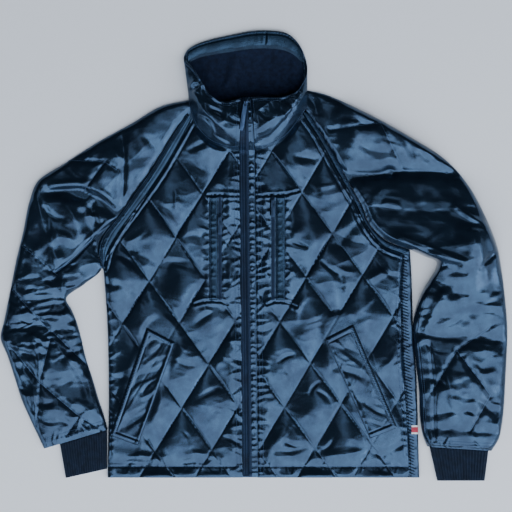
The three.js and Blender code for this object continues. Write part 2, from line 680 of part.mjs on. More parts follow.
// Highest point of some pieces under a straight stretch in plan and some way to its sides.
function highest(pieces, [x0, y0], [x1, y1], sideways) {
  const ray = new THREE.Raycaster();
  const down = new THREE.Vector3(0, 0, -1);
  let top = -Infinity;
  for (let along = 0; along <= 1; along += 0.125) {
    for (let aside = -1; aside <= 1; aside += 0.25) {
      const from = new THREE.Vector3(mix(x0, x1, along) + aside * sideways, mix(y0, y1, along), 200);
      ray.set(from, down);
      const [hit] = ray.intersectObjects(pieces, false);
      if (hit) top = Math.max(top, hit.point.z);
    }
  }
  return top;
}

// ---------------------------------------------------------------- materials and assembly
const shell = new THREE.MeshStandardMaterial({ color: "#1d2a44", roughness: 0.45, metalness: 0 });
const binding = new THREE.MeshStandardMaterial({ color: "#18243c", roughness: 0.5, metalness: 0 });
const fleece = new THREE.MeshStandardMaterial({ color: "#131c30", roughness: 0.95, metalness: 0 });
const rib = new THREE.MeshStandardMaterial({ color: "#141d33", roughness: 0.9, metalness: 0 });
const coil = new THREE.MeshStandardMaterial({ color: "#0f1626", roughness: 0.5, metalness: 0 });
const metal = new THREE.MeshStandardMaterial({ color: "#3c4048", roughness: 0.35, metalness: 0.9 });
const tab = new THREE.MeshStandardMaterial({ color: "#b9bcc2", roughness: 0.6, metalness: 0 });

const jacket = new THREE.Group();

function add(name, geometry, material, parent = jacket) {
  const mesh = new THREE.Mesh(geometry, material);
  mesh.name = name;
  parent.add(mesh);
  return mesh;
}

const strip = ([x0, x1], y0 = CHEST.bottom, y1 = CHEST.top) => [[x0, y0], [x1, y0], [x1, y1], [x0, y1]];

add("back", makeBack(), shell);
add("front_right", makeFront("right"), shell);
add("front_left", makeFront("left"), shell);
add("raglan_band_right", makeBand("right"), binding);
add("raglan_band_left", makeBand("left"), binding);
add("sleeve_right", makeSleeve("right"), shell);
add("sleeve_left", makeSleeve("left"), shell);
add("cuff_right", makeCuff("right", CUFF_RIGHT), rib);
add("cuff_left", makeCuff("left", CUFF_LEFT), rib);
add("collar", makeCollar(), shell);
add("collar_facing", insideCollar([6, 8]), shell);
add("collar_lining", insideCollar([0, 5]), fleece);
add("zip_tape_right", makeTape(-1), binding);
add("zip_tape_left", makeTape(1), binding);
const chain = add("zip_chain", makeChain(), coil);
add("hand_welt_right", onFront("right", HAND_RIGHT, WELT.thickness), shell);
add("hand_welt_left", onFront("left", HAND_LEFT, WELT.thickness), shell);

// A slider and its pull tab on a seam, turned in plan, the tab let down until it meets the cloth.
function addPull(names, length, [x, y], skew, under) {
  const reach = SLIDER.length / 2;
  const seatHeight = highest(under, [x, y + reach], [x, y - reach], SLIDER.width / 2);
  const seat = new THREE.Group();
  seat.position.set(x, y, seatHeight);
  seat.rotation.z = skew;
  jacket.add(seat);
  add(names[0], makeSlider(), metal, seat);
  const tabSlopes = [];
  for (let along = SLIDER.length / 2 + 1; along <= length; along += 1.5) {
    const point = [x + Math.sin(skew) * along, y - Math.cos(skew) * along];
    const cloth = highest(under, point, point, PULL.width / 2) + SEAM_GAP + PULL.thickness / 2;
    tabSlopes.push(Math.atan2(cloth - seatHeight - PIVOT_HEIGHT, along));
  }
  const pull = add(names[1], makePull(length), metal, seat);
  pull.position.z = PIVOT_HEIGHT;
  pull.rotation.x = -Math.max(radians(PULL.lowestDegrees), ...tabSlopes);
}

const named = (...names) => names.map((name) => jacket.getObjectByName(name));
for (const [side, { welt, zip, sliderY }] of [["right", CHEST_RIGHT], ["left", CHEST_LEFT]]) {
  add(`chest_welt_${side}`, onFront(side, strip(welt), WELT.thickness), shell);
  add(`chest_zip_${side}`, onFront(side, strip(zip), WELT.chestZip), coil);
  const under = named(`chest_zip_${side}`, `chest_welt_${side}`, `front_${side}`);
  const names = [`chest_slider_${side}`, `chest_pull_tab_${side}`];
  addPull(names, PULL_LENGTH.chest, [(zip[0] + zip[1]) / 2, sliderY], 0, under);
}
const overZip = named("zip_chain", "zip_tape_right", "zip_tape_left", "collar");
const { x: mainX, y: mainY, skewDegrees } = MAIN_SLIDER;
addPull(["zip_slider", "zip_pull_tab"], PULL_LENGTH.main, [mainX, mainY], radians(skewDegrees), overZip);

const labelStrip = turnedEdge();
const labelCloth = toSolid(
  wall(raised(labelStrip, SEAM_GAP + LABEL.thickness), raised(labelStrip, SEAM_GAP)));
const labelPlan = prism(strip(LABEL.strip, LABEL.low, LABEL.high));
add("side_label", fromSolid(labelCloth.intersect(labelPlan)), tab);

export default jacket;
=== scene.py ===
"""Quilted riding jacket, laid out flat: the looks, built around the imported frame.

Sizes are millimetres until a mesh is made, then metres. +X is the wearer's left, +Y the collar, +Z up.
"""

from __future__ import annotations

import json
import logging
import math
from dataclasses import dataclass, field
from enum import Enum

import bpy
import numpy as np
from mathutils import Matrix, Vector


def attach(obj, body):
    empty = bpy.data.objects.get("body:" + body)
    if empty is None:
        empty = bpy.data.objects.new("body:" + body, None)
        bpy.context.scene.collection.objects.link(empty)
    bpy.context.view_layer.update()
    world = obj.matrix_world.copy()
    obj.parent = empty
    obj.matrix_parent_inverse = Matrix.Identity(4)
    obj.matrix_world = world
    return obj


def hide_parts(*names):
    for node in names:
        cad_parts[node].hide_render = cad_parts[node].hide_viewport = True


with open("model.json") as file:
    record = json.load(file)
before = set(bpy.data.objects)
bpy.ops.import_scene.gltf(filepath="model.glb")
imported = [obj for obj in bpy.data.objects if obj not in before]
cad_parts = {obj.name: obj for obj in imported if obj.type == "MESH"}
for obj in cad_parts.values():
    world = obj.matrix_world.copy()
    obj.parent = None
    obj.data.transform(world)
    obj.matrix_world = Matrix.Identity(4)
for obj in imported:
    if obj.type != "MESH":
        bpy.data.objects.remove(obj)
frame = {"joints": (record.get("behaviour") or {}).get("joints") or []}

Array = np.ndarray
MM = 0.001
JACKET = "jacket"
log = logging.getLogger("jacket")

# ---------------------------------------------------------------- driving dimensions: plan and sections
# are those of the solids; folds and slopes are worked out further here.
SEAM_GAP = 0.3
BACK_WALL = 5.0
FRONT_INSIDE = BACK_WALL + SEAM_GAP
STITCHED_WALL = 3.2
EDGE_LIP = 1.2
EDGE_RADIUS = 11.0
TUBE_WALL = 3.0
HEM_Y = -408.0
NECK_Y = 194.0
HEM_TURNING = 20.0
RAGLAN_ROWS = 8
STRIDE = 4  # every fourth point of a fine grid stands in the coarse one under it
CRISP = 50.0  # edges sharper than this many degrees aren't smoothed

SLEEVE_RIGHT = [
    [-125, 286, -123, 263], [-173, 273, -145, 231], [-226, 242, -191, 157], [-289, 207, -222, 113],
    [-350, 168, -250, 73], [-398, 136, -283, 30], [-413, 100, -287, 4], [-425, 42, -280, -24],
    [-438, -12, -312, -53], [-449, -69, -345, -79], [-460, -122, -335, -100], [-466, -152, -326, -122],
    [-454, -183, -318, -150], [-440, -225, -309, -189], [-427, -266, -296, -229],
    [-412, -300, -285, -266], [-398, -330, -276, -293], [-386, -355, -269, -320],
]
SLEEVE_LEFT = [
    [101, 304, 104, 258], [131, 296, 125, 222], [175, 278, 149, 183], [230, 251, 180, 124],
    [290, 217, 199, 90], [350, 178, 212, 58], [394, 130, 244, 27], [422, 80, 288, 10],
    [447, 19, 314, -2], [456, -30, 336, -13], [462, -80, 306, -72], [466, -130, 293, -120],
    [465, -180, 294, -165], [462, -238, 299, -210], [460, -275, 303, -250],
    [456, -312, 305, -300], [450, -338, 310, -330], [437, -359, 318, -351],
]
BAND_RIGHT = [
    [-114, 250], [-137, 208], [-171, 150], [-200, 108], [-226, 73], [-250, 40], [-266, 12], [-276, -23],
]
BAND_LEFT = [
    [93, 253], [112, 226], [136, 184], [163, 136], [184, 100], [203, 60], [236, 18], [273, 2],
]
SIDE_RIGHT = [[-277, -25], [-271, -100], [-268, -170], [-267, -266], [-268, -340], [-269, HEM_Y]]
SIDE_LEFT = [
    [287, 6], [289, -27], [291, -82], [293, -155], [298, -211], [300, -266], [302, -339], [304, HEM_Y],
]
SIDE_SEAM = [[273, 2], [269, -63], [270, -119], [272, -192], [278, -266], [282, -339], [285, HEM_Y]]
# Collar, from the zip round the wearer's right, the back and the left: seam xyz, free edge xyz, roll.
COLLAR_SECTIONS = [
    [-26.5, 194, 10, -21, 290, 34, 24], [-53, 198, 10, -52, 282, 36, 24], [-75, 206, 10, -71, 288, 37, 23],
    [-90, 217, 10, -88, 306, 36, 22], [-104, 233, 11, -99, 326, 33, 18], [-113, 256, 12, -115, 347, 25, 8],
    [-119, 280, 9, -129, 361, 12, 3], [-118, 297, 3, -126, 374, 2, 0], [-102, 306, 0, -107, 387, 0, 0],
    [-72, 307, 0, -77, 397, 0, 0], [-40, 308, 0, -40, 405, 0, 0], [-8, 308, 0, -4, 412, 0, 0],
    [22, 308, 0, 31, 413, 0, 0], [52, 306, 0, 61, 408, 0, 0], [77, 303, 0, 80, 392, 0, 0],
    [95, 293, 3, 94, 367, 2, 0], [98, 277, 9, 98, 341, 12, 3], [91, 262, 12, 91, 320, 24, 8],
    [80, 246, 11, 81, 305, 31, 18], [67, 228, 10, 63, 294, 35, 22], [53, 213, 10, 42, 290, 36, 23],
    [38, 204, 10, 20, 291, 36, 24], [18, 197, 10, 6, 291, 35, 24], [1.5, 194, 10, -6, 290, 34, 24],
]
HAND_RIGHT = [[-197, -132], [-145, -159], [-213, -349], [-265, -330]]
HAND_LEFT = [[131, -152], [182, -126], [263, -316], [213, -336]]
CHEST_TOP = 108.0
CHEST_BOTTOM = -82.0

# Folds that the laid cloth keeps: [x0, y0, x1, y1, height (down if negative), half-width]. The last three
# soft swells are here only.
FOLDS = [
    [-378, 115, -322, 114, -8, 13], [-322, 114, -258, 79, -7, 12], [-310, 78, -292, 36, -6, 12],
    [-398, 116, -374, 30, 5, 12], [-374, 30, -353, -54, 4, 11], [-300, 20, -362, -32, -4, 10],
    [-420, -18, -360, -30, -2, 8], [-440, -48, -352, -60, 2, 8], [-446, -78, -360, -88, -2, 8],
    [-456, -104, -350, -112, 1.5, 8], [-458, -128, -345, -136, -2, 8], [-452, -158, -340, -158, 1.5, 9],
    [-440, -188, -330, -180, -1.5, 9], [177, 146, 250, 154, -6, 13], [250, 154, 372, 150, -5, 11],
    [241, 97, 262, 92, 1.6, 5], [370, 86, 436, 50, 3.5, 9],
    [264, 30, 382, -14, 4, 9], [320, -38, 368, -66, -5, 14], [351, -63, 315, -133, 3, 8],
    [306, -74, 362, -86, 6, 17], [304, -142, 440, -154, -4, 10], [316, -180, 430, -176, 1.5, 10],
    [318, -318, 444, -324, -3, 9],
    [-238, 14, -160, -20, -2, 10], [196, 60, 150, 20, -2, 10],
    [350, -252, 402, -247, 6.5, 40], [414, -322, 452, -316, 5, 30], [300, -82, 342, -88, 5, 30],
]
# Slanting planes of the wearer's left sleeve, steeper than in the solid, each rising to the left of a bowed
# stretch: [x0, y0, x1, y1, width, height, bow].
PLANES = [[400, 151, 190, 148, 56, 11, -5], [392, 92, 240, 92, 3, -0.5, 8], [392, 88, 225, 89, 66, 18, 8],
          [190, 149, 400, 152, 75, 10, 5]]
# The same at the outer bend of its elbow.
ELBOW_PLANES = [[414, -42, 450, -42, 84, 8, 0], [414, 44, 450, 40, 14, -8, 0]]
# Single quilting seams on the sleeves: [x0, y0, x1, y1].
SLEEVE_SEAMS = [
    [-357, 176, -274, 172], [-274, 172, -252, 157], [-274, 172, -311, 121], [-427, 19, -361, -36],
    [-445, -63, -375, -139], [-449, -165, -394, -233], [-394, -233, -324, -293], [-324, -293, -274, -325],
    [-375, -155, -394, -233], [140, 231, 232, 244], [232, 244, 274, 157], [372, -174, 434, -257],
    [372, -174, 326, -250], [434, -257, 396, -322], [372, -174, 440, -128], [-369, -141, -305, -203],
    [-393, -235, -400, -312], [-322, -297, -344, -330],
]
# The underarm seam, which shows on the wearer's right sleeve.
UNDERARM_SEAM = [[-246, 72], [-293, 34], [-330, -4], [-363, -29]]
# Sharper creases, given one by one: [x0, y0, x1, y1, bow sideways, height, half-width].
CREASES = [
    # wearer's right sleeve: pinch above the elbow, its rims and the crumpled pit under it
    [-377, 117, -305, 114, 4, -5, 5], [-305, 114, -254, 79, 5, -5, 5], [-374, 128, -302, 128, 3, 4, 6],
    [-300, 125, -262, 100, 4, 3, 5], [-241, 222, -244, 76, 3, -4, 5], [-312, 96, -291, 60, 5, -4, 5],
    [-297, 96, -284, 58, -4, -3, 4], [-306, 74, -283, 66, 2, 3, 4], [-401, 120, -376, 19, 8, -4, 7],
    [-362, 41, -336, 27, 0, 4, 9], [-346, 88, -322, 40, 6, 3, 8], [-384, 86, -352, 66, -4, -2.5, 6],
    [-408, -150, -388, -226, 2, 3, 6], [-406, -240, -398, -310, 1, 3, 5], [-343, 160, -292, 140, -6, -2, 8],
    [-330, -205, -306, -262, 3, -2.5, 7], [-360, -170, -322, -196, -5, 2.5, 6],
    [-420, -196, -404, -238, 3, -2.5, 5], [-356, -300, -330, -322, 3, -2.5, 6],
    [-210, 222, -178, 190, 5, -2.5, 8], [-262, 196, -232, 176, -4, 2.5, 7],
    # wearer's left sleeve: hard fold under the shoulder plane, rims, elbow and lower seam
    [96, 300, 116, 262, 3, -4, 8], [168, 150, 250, 151, -4, -4, 6], [250, 152, 378, 148, 5, -2, 4],
    [372, 90, 436, 54, -5, 3, 5], [270, 36, 384, -13, 2, 1.6, 3],
    [315, 3, 397, -22, 4, 4, 7], [416, -23, 447, 7, 2, -5, 5], [402, 44, 428, -52, 5, 3, 8],
    [224, 112, 262, 124, 5, 1.6, 7], [280, 206, 292, 168, 3, -1.6, 5], [306, 190, 318, 166, 2, -1.4, 4],
    [322, -165, 330, -250, 1, -3, 3.5], [330, -250, 332, -339, -1, -3, 3.5], [344, -196, 366, -300, 5, 2, 8],
    [392, -188, 418, -232, -4, -2.5, 6], [402, -262, 444, -300, 5, -2.5, 6],
    [360, -262, 396, -296, 4, 2.5, 7],
    [196, 206, 250, 190, -6, -2, 8], [300, 196, 340, 172, 5, 2.5, 7], [164, 254, 212, 236, 4, -2, 6],
    # body: soft folds over the hem and beside the zip
    [-266, -362, -168, -377, 4, 3, 8], [-262, -379, -174, -386, 2, -2, 5], [-56, -334, -26, -346, 2, -2.5, 5],
    [-120, -366, -60, -372, 3, 2, 6], [40, -360, 96, -352, -3, -2, 6], [120, -372, 210, -364, 4, 2.2, 7],
    [236, -366, 270, -350, 3, -2, 5], [-230, -60, -196, -92, 5, -2, 8], [-176, 92, -140, 62, 5, -1.8, 7],
    [150, 44, 204, 22, -5, -2, 7], [92, 150, 120, 116, 4, -1.8, 6], [206, -44, 250, -30, 4, 2, 7],
    [-252, 2, -206, -34, 5, -2.6, 6], [226, -6, 262, -42, -4, -2.6, 6],
]
# Creases of the collar's outside, in the same form.
COLLAR_CREASES = [
    [-97, 319, -121, 301, 2, -3.5, 4], [88, 292, 75, 273, 1, -3.5, 4], [75, 273, 33, 222, 3, -3.5, 4],
    [-99, 259, -68, 225, 5, -3.2, 3.5], [2, 208, 31, 215, -2, -2.5, 4], [4, 226, 26, 234, -2, 2, 4],
    [-78, 268, -52, 252, 4, -3, 5], [-64, 284, -34, 268, 4, -2.5, 4], [-44, 256, -24, 244, -3, -2.5, 4],
    [-82, 290, -60, 276, 3, 2, 4], [8, 268, 40, 250, -4, -3, 5], [14, 286, 48, 276, 4, 2.2, 5],
    [46, 262, 62, 238, 3, 2.4, 5], [-72, 222, -30, 203, -2, -2, 2.6], [2, 203, 28, 219, 1, -3, 3.5],
    [-112, 300, -98, 276, 3, -2.5, 5], [-108, 330, -96, 300, 4, 2.2, 5],
    [84, 318, 92, 296, -3, -2.4, 5], [-30, 282, -22, 250, 2, -2, 3.5], [58, 284, 74, 262, 3, -2, 4],
]


# ---------------------------------------------------------------- numbers, lines and fields
class Side(Enum):
    """A side of the wearer; its value is the direction of X."""

    RIGHT = -1
    LEFT = 1

    @property
    def word(self) -> str:
        """The side in lower case, as in the nodes' names."""
        return self.name.lower()


def mix(a: Array | float, b: Array | float, share: Array | float) -> Array | float:
    """Returns a moved towards b by a share."""
    return a + (b - a) * share


def smooth(value: Array) -> Array:
    """Returns the smooth step 3v^2 - 2v^3 of a value clipped to 0..1."""
    v = np.clip(value, 0.0, 1.0)
    return v * v * (3.0 - 2.0 * v)


def arch(value: Array) -> Array:
    """Returns (4p(1-p))^0.72 of a share p: a taut arch from 0 to 1."""
    return np.clip(4.0 * value * (1.0 - value), 0.0, None) ** 0.72


def bell(distance: Array, half: Array | float) -> Array:
    """Returns a bell's height: 1 in its middle and 1/e at its half-width."""
    return np.exp(-((distance / half) ** 2))


def rounded(distance: Array, radius: float = EDGE_RADIUS) -> Array:
    """Returns a quarter circle's rise: 0 at an edge and 1 one radius in from it."""
    inward = np.clip(distance / radius, 0.0, 1.0)
    return np.sqrt(1.0 - (1.0 - inward) ** 2)


def through(rows: list, per_row: int) -> Array:
    """Points of a centripetal Catmull-Rom line through table rows.

    Args:
        rows: the table's points, 2 or 3 numbers each.
        per_row: steps between neighbouring rows.

    Returns:
        Points, (rows - 1) * per_row + 1 of them.
    """
    p = np.asarray(rows, float)
    p = np.vstack([2 * p[0] - p[1], p, 2 * p[-1] - p[-2]])
    gap = np.sqrt(np.linalg.norm(np.diff(p, axis=0), axis=1))[:, None]
    middle = np.where(gap[1:-1] < 1e-4, 1.0, gap[1:-1])
    before = np.where(gap[:-2] < 1e-4, middle, gap[:-2])
    after = np.where(gap[2:] < 1e-4, middle, gap[2:])
    x0, x1, x2, x3 = p[:-3], p[1:-2], p[2:-1], p[3:]
    t1 = ((x1 - x0) / before - (x2 - x0) / (before + middle) + (x2 - x1) / middle) * middle
    t2 = ((x2 - x1) / middle - (x3 - x1) / (middle + after) + (x3 - x2) / after) * middle
    t = (np.arange(per_row) / per_row)[None, :, None]
    c2, c3 = 3 * (x2 - x1) - 2 * t1 - t2, 2 * (x1 - x2) + t1 + t2
    points = x1[:, None] + t1[:, None] * t + c2[:, None] * t**2 + c3[:, None] * t**3
    return np.vstack([points.reshape(-1, p.shape[1]), p[-2]])


def lengths(line: Array) -> Array:
    """Returns the distance along a line at each of its points."""
    return np.concatenate([[0.0], np.cumsum(np.linalg.norm(np.diff(line, axis=0), axis=1))])


def spaced(line: Array, count: int) -> Array:
    """Returns a line with that many points, equally far apart along it."""
    at = lengths(line)
    want = np.linspace(0.0, at[-1], count)
    return np.stack([np.interp(want, at, line[:, k]) for k in range(line.shape[1])], axis=1)


def beside(line: Array, distance: float) -> Array:
    """Returns a plan line moved to its left by a distance."""
    along = np.empty_like(line)
    along[1:-1] = line[2:] - line[:-2]
    along[0], along[-1] = line[1] - line[0], line[-1] - line[-2]
    along /= np.linalg.norm(along, axis=1, keepdims=True)
    return line + distance * np.stack([-along[:, 1], along[:, 0]], axis=1)


def x_at(line: Array, y: Array) -> Array:
    """Returns the x at given ys of a line that runs mostly along Y."""
    order = np.argsort(line[:, 1])
    return np.interp(y, line[order, 1], line[order, 0])


def from_line(x: Array, y: Array, line: Array) -> tuple[Array, Array]:
    """Nearest distance to a plan line, and how far along it the nearest point lies."""
    best = np.full(np.shape(x), 1e9)
    along = np.zeros(np.shape(x))
    start = lengths(line[:, :2])
    for (x0, y0), (x1, y1), at in zip(line[:-1, :2], line[1:, :2], start[:-1]):
        dx, dy = x1 - x0, y1 - y0
        size = math.hypot(dx, dy) + 1e-9
        share = np.clip(((x - x0) * dx + (y - y0) * dy) / size**2, 0.0, 1.0)
        distance = np.hypot(x - x0 - dx * share, y - y0 - dy * share)
        nearer = distance < best
        best = np.where(nearer, distance, best)
        along = np.where(nearer, at + share * size, along)
    return best, along


def noise(x: Array, y: Array, size: float, seed: int) -> Array:
    """Smooth noise from -1 to 1: seeded values on a square lattice, blended with a smooth step."""
    values = np.random.default_rng(seed).uniform(-1.0, 1.0, (128, 128))
    gx, gy = x / size + 31.7, y / size + 57.3
    i, j = np.floor(gx).astype(int), np.floor(gy).astype(int)
    fx, fy = smooth(gx - i), smooth(gy - j)
    i, j, i1, j1 = i % 128, j % 128, (i + 1) % 128, (j + 1) % 128
    return mix(mix(values[i, j], values[i1, j], fx), mix(values[i, j1], values[i1, j1], fx), fy)


def crumple(x: Array, y: Array, size: float, seed: int, turn: float = 0.0, stretch: float = 1.0) -> Array:
    """Creased noise from -1 to 1: one less twice the size of the noise, so that it folds in crisp crests.

    Args:
        x: plan coordinates.
        y: plan coordinates.
        size: distance between crests.
        seed: of the noise.
        turn: direction of the crests, in degrees from X.
        stretch: how many times longer the crests are than they are apart.

    Returns:
        The height at each point.
    """
    c, s = math.cos(math.radians(turn)), math.sin(math.radians(turn))
    return 1.0 - 2.0 * np.abs(noise((x * c + y * s) / stretch, y * c - x * s, size, seed)) ** 0.8


def puckers(distance: Array, along: Array, reach: float, pitch: float, seed: int) -> Array:
    """Gathers across a seam: a ridge in each pitch, of its own place, height, length and slant.

    Args:
        distance: from the seam.
        along: distance along the seam.
        reach: how far the longer ridges run from the seam.
        pitch: distance between ridges.
        seed: of their unevenness.

    Returns:
        The height at each point, about 1 on the highest crests.
    """
    rng = np.random.default_rng(seed)
    place, size = rng.uniform(-0.3, 0.3, 512), rng.uniform(0.35, 1.1, 512)
    reaches, slant = rng.uniform(0.4, 1.25, 512) * reach, rng.normal(0, 0.38, 512)
    taper = rng.uniform(-0.75, 0.75, 512)
    away = np.abs(distance)
    cell = np.floor(along / pitch)
    total = np.zeros(np.broadcast(distance, along).shape)
    for step in (-1, 0, 1):
        k = (cell + step).astype(int) % 512
        share = np.clip(away / reaches[k], 0, 1)
        aside = along - (cell + step + 0.5 + place[k]) * pitch - slant[k] * away
        half = 0.25 * pitch * (1 + taper[k] * (1 - 2 * share))
        total += size[k] * (1 - share) * bell(aside, half)
    return total


def creases(x: Array, y: Array, table: list, tapered: bool = True) -> Array:
    """Sum of troughs and ridges, each a bell across a bowed stretch that thins towards its ends."""
    total = np.zeros(np.shape(x))
    for row in table:
        x0, y0, x1, y1 = row[:4]
        bow, height, half = row[4:] if tapered else (0.0, *row[4:])
        dx, dy = x1 - x0, y1 - y0
        size = math.hypot(dx, dy)
        raw = ((x - x0) * dx + (y - y0) * dy) / size**2
        share = np.clip(raw, 0.0, 1.0)
        aside = ((y - y0) * dx - (x - x0) * dy) / size - bow * 4 * share * (1 - share)
        distance = np.hypot(aside, (raw - share) * size)
        swell = 0.45 + 0.55 * np.sin(math.pi * share) if tapered else 1.0
        total += height * swell * bell(distance, half)
    return total


def planes(x: Array, y: Array, table: list, fade: Array | float = 25.0) -> Array:
    """Sum of slanting planes: each rises evenly to its height over a width, and ends softly."""
    total = np.zeros(np.shape(x))
    for x0, y0, x1, y1, width, height, bow in table:
        dx, dy = x1 - x0, y1 - y0
        size = math.hypot(dx, dy)
        along = ((x - x0) * dx + (y - y0) * dy) / size
        aside = ((y - y0) * dx - (x - x0) * dy) / size
        beyond = np.maximum(0, np.maximum(-along, along - size))
        share = np.clip(along / size, 0, 1)
        aside -= bow * 4 * share * (1 - share)
        total += height * np.clip(aside / width, 0, 1) * bell(beyond, fade)
    return total


def scattered(rng: np.random.Generator, centres: Array, sizes: tuple, heights: tuple, turn: tuple,
              slim: tuple = (0.1, 0.2)) -> list:
    """Seeded creases round given centres.

    Args:
        rng: the seeded generator.
        centres: one centre for each crease.
        sizes: shortest and longest crease.
        heights: lowest and highest.
        turn: middle direction and spread, in degrees.
        slim: least and greatest half-width, as shares of the length.

    Returns:
        Rows for creases().
    """
    rows = []
    for cx, cy in centres:
        size, height = rng.uniform(*sizes), rng.uniform(*heights)
        angle = math.radians(rng.normal(*turn))
        dx, dy = size / 2 * math.cos(angle), size / 2 * math.sin(angle)
        bow, half = rng.uniform(-0.15, 0.15) * size, rng.uniform(*slim) * size
        rows.append([cx - dx, cy - dy, cx + dx, cy + dy, bow, height, half])
    return rows


def inside(x: Array, y: Array, outline: Array) -> Array:
    """Returns whether each point lies inside a closed plan outline, by counting crossings."""
    found = np.zeros(np.shape(x), bool)
    for (x0, y0), (x1, y1) in zip(outline, np.roll(outline, -1, axis=0)):
        crosses = (y0 > y) != (y1 > y)
        at = x0 + (y - y0) / ((y1 - y0) or 1e-9) * (x1 - x0)
        found ^= crosses & (x < at)
    return found


# ---------------------------------------------------------------- surfaces and meshes
@dataclass(frozen=True)
class Surface:
    """A grid of points in millimetres, rows by columns."""

    points: Array

    def normals(self) -> Array:
        """Returns unit normals: the step along the rows crossed with the step across the columns."""
        along, across = np.gradient(self.points, axis=0), np.gradient(self.points, axis=1)
        normal = np.cross(along, across)
        return normal / np.maximum(np.linalg.norm(normal, axis=2, keepdims=True), 1e-9)

    def moved(self, distance: float | Array) -> Surface:
        """Returns the surface moved along its own normals."""
        return Surface(self.points + self.normals() * np.asarray(distance)[..., None])

    def coarse(self) -> Array:
        """Returns the coarse grid's points."""
        return self.points[::STRIDE, ::STRIDE]

    def sample(self, rows: Array, columns: Array) -> Array:
        """Returns points at fractional rows and columns, given as shares from 0 to 1."""
        r = np.clip(rows, 0, 1) * (self.points.shape[0] - 1)
        c = np.clip(columns, 0, 1) * (self.points.shape[1] - 1)
        i = np.minimum(r.astype(int), self.points.shape[0] - 2)
        j = np.minimum(c.astype(int), self.points.shape[1] - 2)
        fr, fc = (r - i)[:, None], (c - j)[:, None]
        p = self.points
        return mix(mix(p[i, j], p[i + 1, j], fr), mix(p[i, j + 1], p[i + 1, j + 1], fr), fc)

    def cloth_uv(self) -> Array:
        """Returns distances along columns and rows in metres, for a weave that follows the cloth."""
        p = self.points
        across = np.concatenate([np.zeros_like(p[:, :1, 0]),
                                 np.cumsum(np.linalg.norm(np.diff(p, axis=1), axis=2), axis=1)], axis=1)
        down = np.concatenate([np.zeros_like(p[:1, :, 0]),
                               np.cumsum(np.linalg.norm(np.diff(p, axis=0), axis=2), axis=0)], axis=0)
        return np.stack([across, down], axis=2) * MM


def coons(left: Array, right: Array, bottom: Array, top: Array) -> Array:
    """Plan points between four edges: both ways blended, less the blend of the corners.

    Args:
        left: edge from the bottom up.
        right: edge from the bottom up, with as many points.
        bottom: edge from the left.
        top: edge from the left, with as many points as the bottom.

    Returns:
        A grid of rows from the bottom up and columns from the left.
    """
    t = np.linspace(0, 1, len(left))[:, None, None]
    s = np.linspace(0, 1, len(bottom))[None, :, None]
    corners = mix(mix(bottom[0], bottom[-1], s), mix(top[0], top[-1], s), t)
    return mix(left[:, None], right[:, None], s) + mix(bottom[None], top[None], t) - corners


@dataclass
class Solid:
    """A closed mesh as points and blocks of faces, each block with as many corners a face."""

    points: Array
    faces: list[Array]
    uv: Array | None = None

    def volume(self) -> float:
        """Returns six times the signed volume, a fan of triangles for each face."""
        total = 0.0
        for block in self.faces:
            first = self.points[block[:, 0]]
            for k in range(1, block.shape[1] - 1):
                cross = np.cross(self.points[block[:, k]], self.points[block[:, k + 1]])
                total += float(np.einsum("ij,ij->", first, cross))
        return total

    def outward(self) -> Solid:
        """Returns the solid with its faces pointing out."""
        faces = self.faces if self.volume() > 0 else [block[:, ::-1] for block in self.faces]
        return Solid(self.points, faces, self.uv)


def shell(outer: Array, inner: Array, ring: bool = False, uv: Array | None = None) -> Solid:
    """A closed wall between a fine grid and a coarser one.

    The grids are joined round their rims by faces that take several fine edges to one coarse edge.

    Args:
        outer: the fine grid of points.
        inner: the coarse grid, whose points stand for every stride-th point of the fine one.
        ring: whether the columns close on themselves.
        uv: the fine grid's cloth coordinates.

    Returns:
        The closed solid.
    """
    (rows, columns), (few, narrow) = outer.shape[:2], inner.shape[:2]
    stride = (rows - 1) // (few - 1)
    base = rows * columns

    def fine(i: Array | int, j: Array | int) -> Array:
        """Index of a fine point."""
        return i * columns + (j % columns if ring else j)

    def rough(i: Array | int, j: Array | int) -> Array:
        """Index of a coarse point."""
        return base + i * narrow + (j % narrow if ring else j)

    def quads(index: object, tall: int, wide: int) -> Array:
        """Faces of one grid."""
        i, j = np.meshgrid(np.arange(tall - 1), np.arange(wide - (0 if ring else 1)), indexing="ij")
        corners = [index(i, j), index(i + 1, j), index(i + 1, j + 1), index(i, j + 1)]
        return np.stack([c.ravel() for c in corners], axis=1)

    faces = [quads(fine, rows, columns), quads(rough, few, narrow)[:, ::-1]]
    j = np.arange(narrow if ring else narrow - 1)
    steps = np.arange(stride + 1)
    for row, few_row, turned in ((0, 0, False), (rows - 1, few - 1, True)):
        many = fine(row, j[:, None] * stride + steps)
        rim = np.concatenate([many, rough(few_row, j + 1)[:, None], rough(few_row, j)[:, None]], axis=1)
        faces.append(rim[:, ::-1] if turned else rim)
    if not ring:
        i = np.arange(few - 1)
        for column, few_column, turned in ((0, 0, True), (columns - 1, narrow - 1, False)):
            many = fine(i[:, None] * stride + steps, column)
            back = np.stack([rough(i + 1, few_column), rough(i, few_column)], axis=1)
            rim = np.concatenate([many, back], axis=1)
            faces.append(rim[:, ::-1] if turned else rim)
    points = np.vstack([outer.reshape(-1, 3), inner.reshape(-1, 3)])
    both = None
    if uv is not None:
        few_uv = uv[::stride, ::stride]
        both = np.vstack([uv.reshape(-1, 2), few_uv.reshape(-1, 2)])
    return Solid(points, faces, both).outward()


def repeated(base: Solid, places: Array, frames: Array) -> Solid:
    """Copies of a small solid as one mesh.

    Args:
        base: the small solid round its own origin, with its faces out.
        places: where each copy goes, (n, 3).
        frames: each copy's own axes as rows, (n, 3, 3).

    Returns:
        One solid of n closed bodies.
    """
    points = (base.points @ frames + places[:, None]).reshape(-1, 3)
    shift = (np.arange(len(places)) * len(base.points))[:, None, None]
    faces = [(block[None] + shift).reshape(-1, block.shape[1]) for block in base.faces]
    return Solid(points, faces)


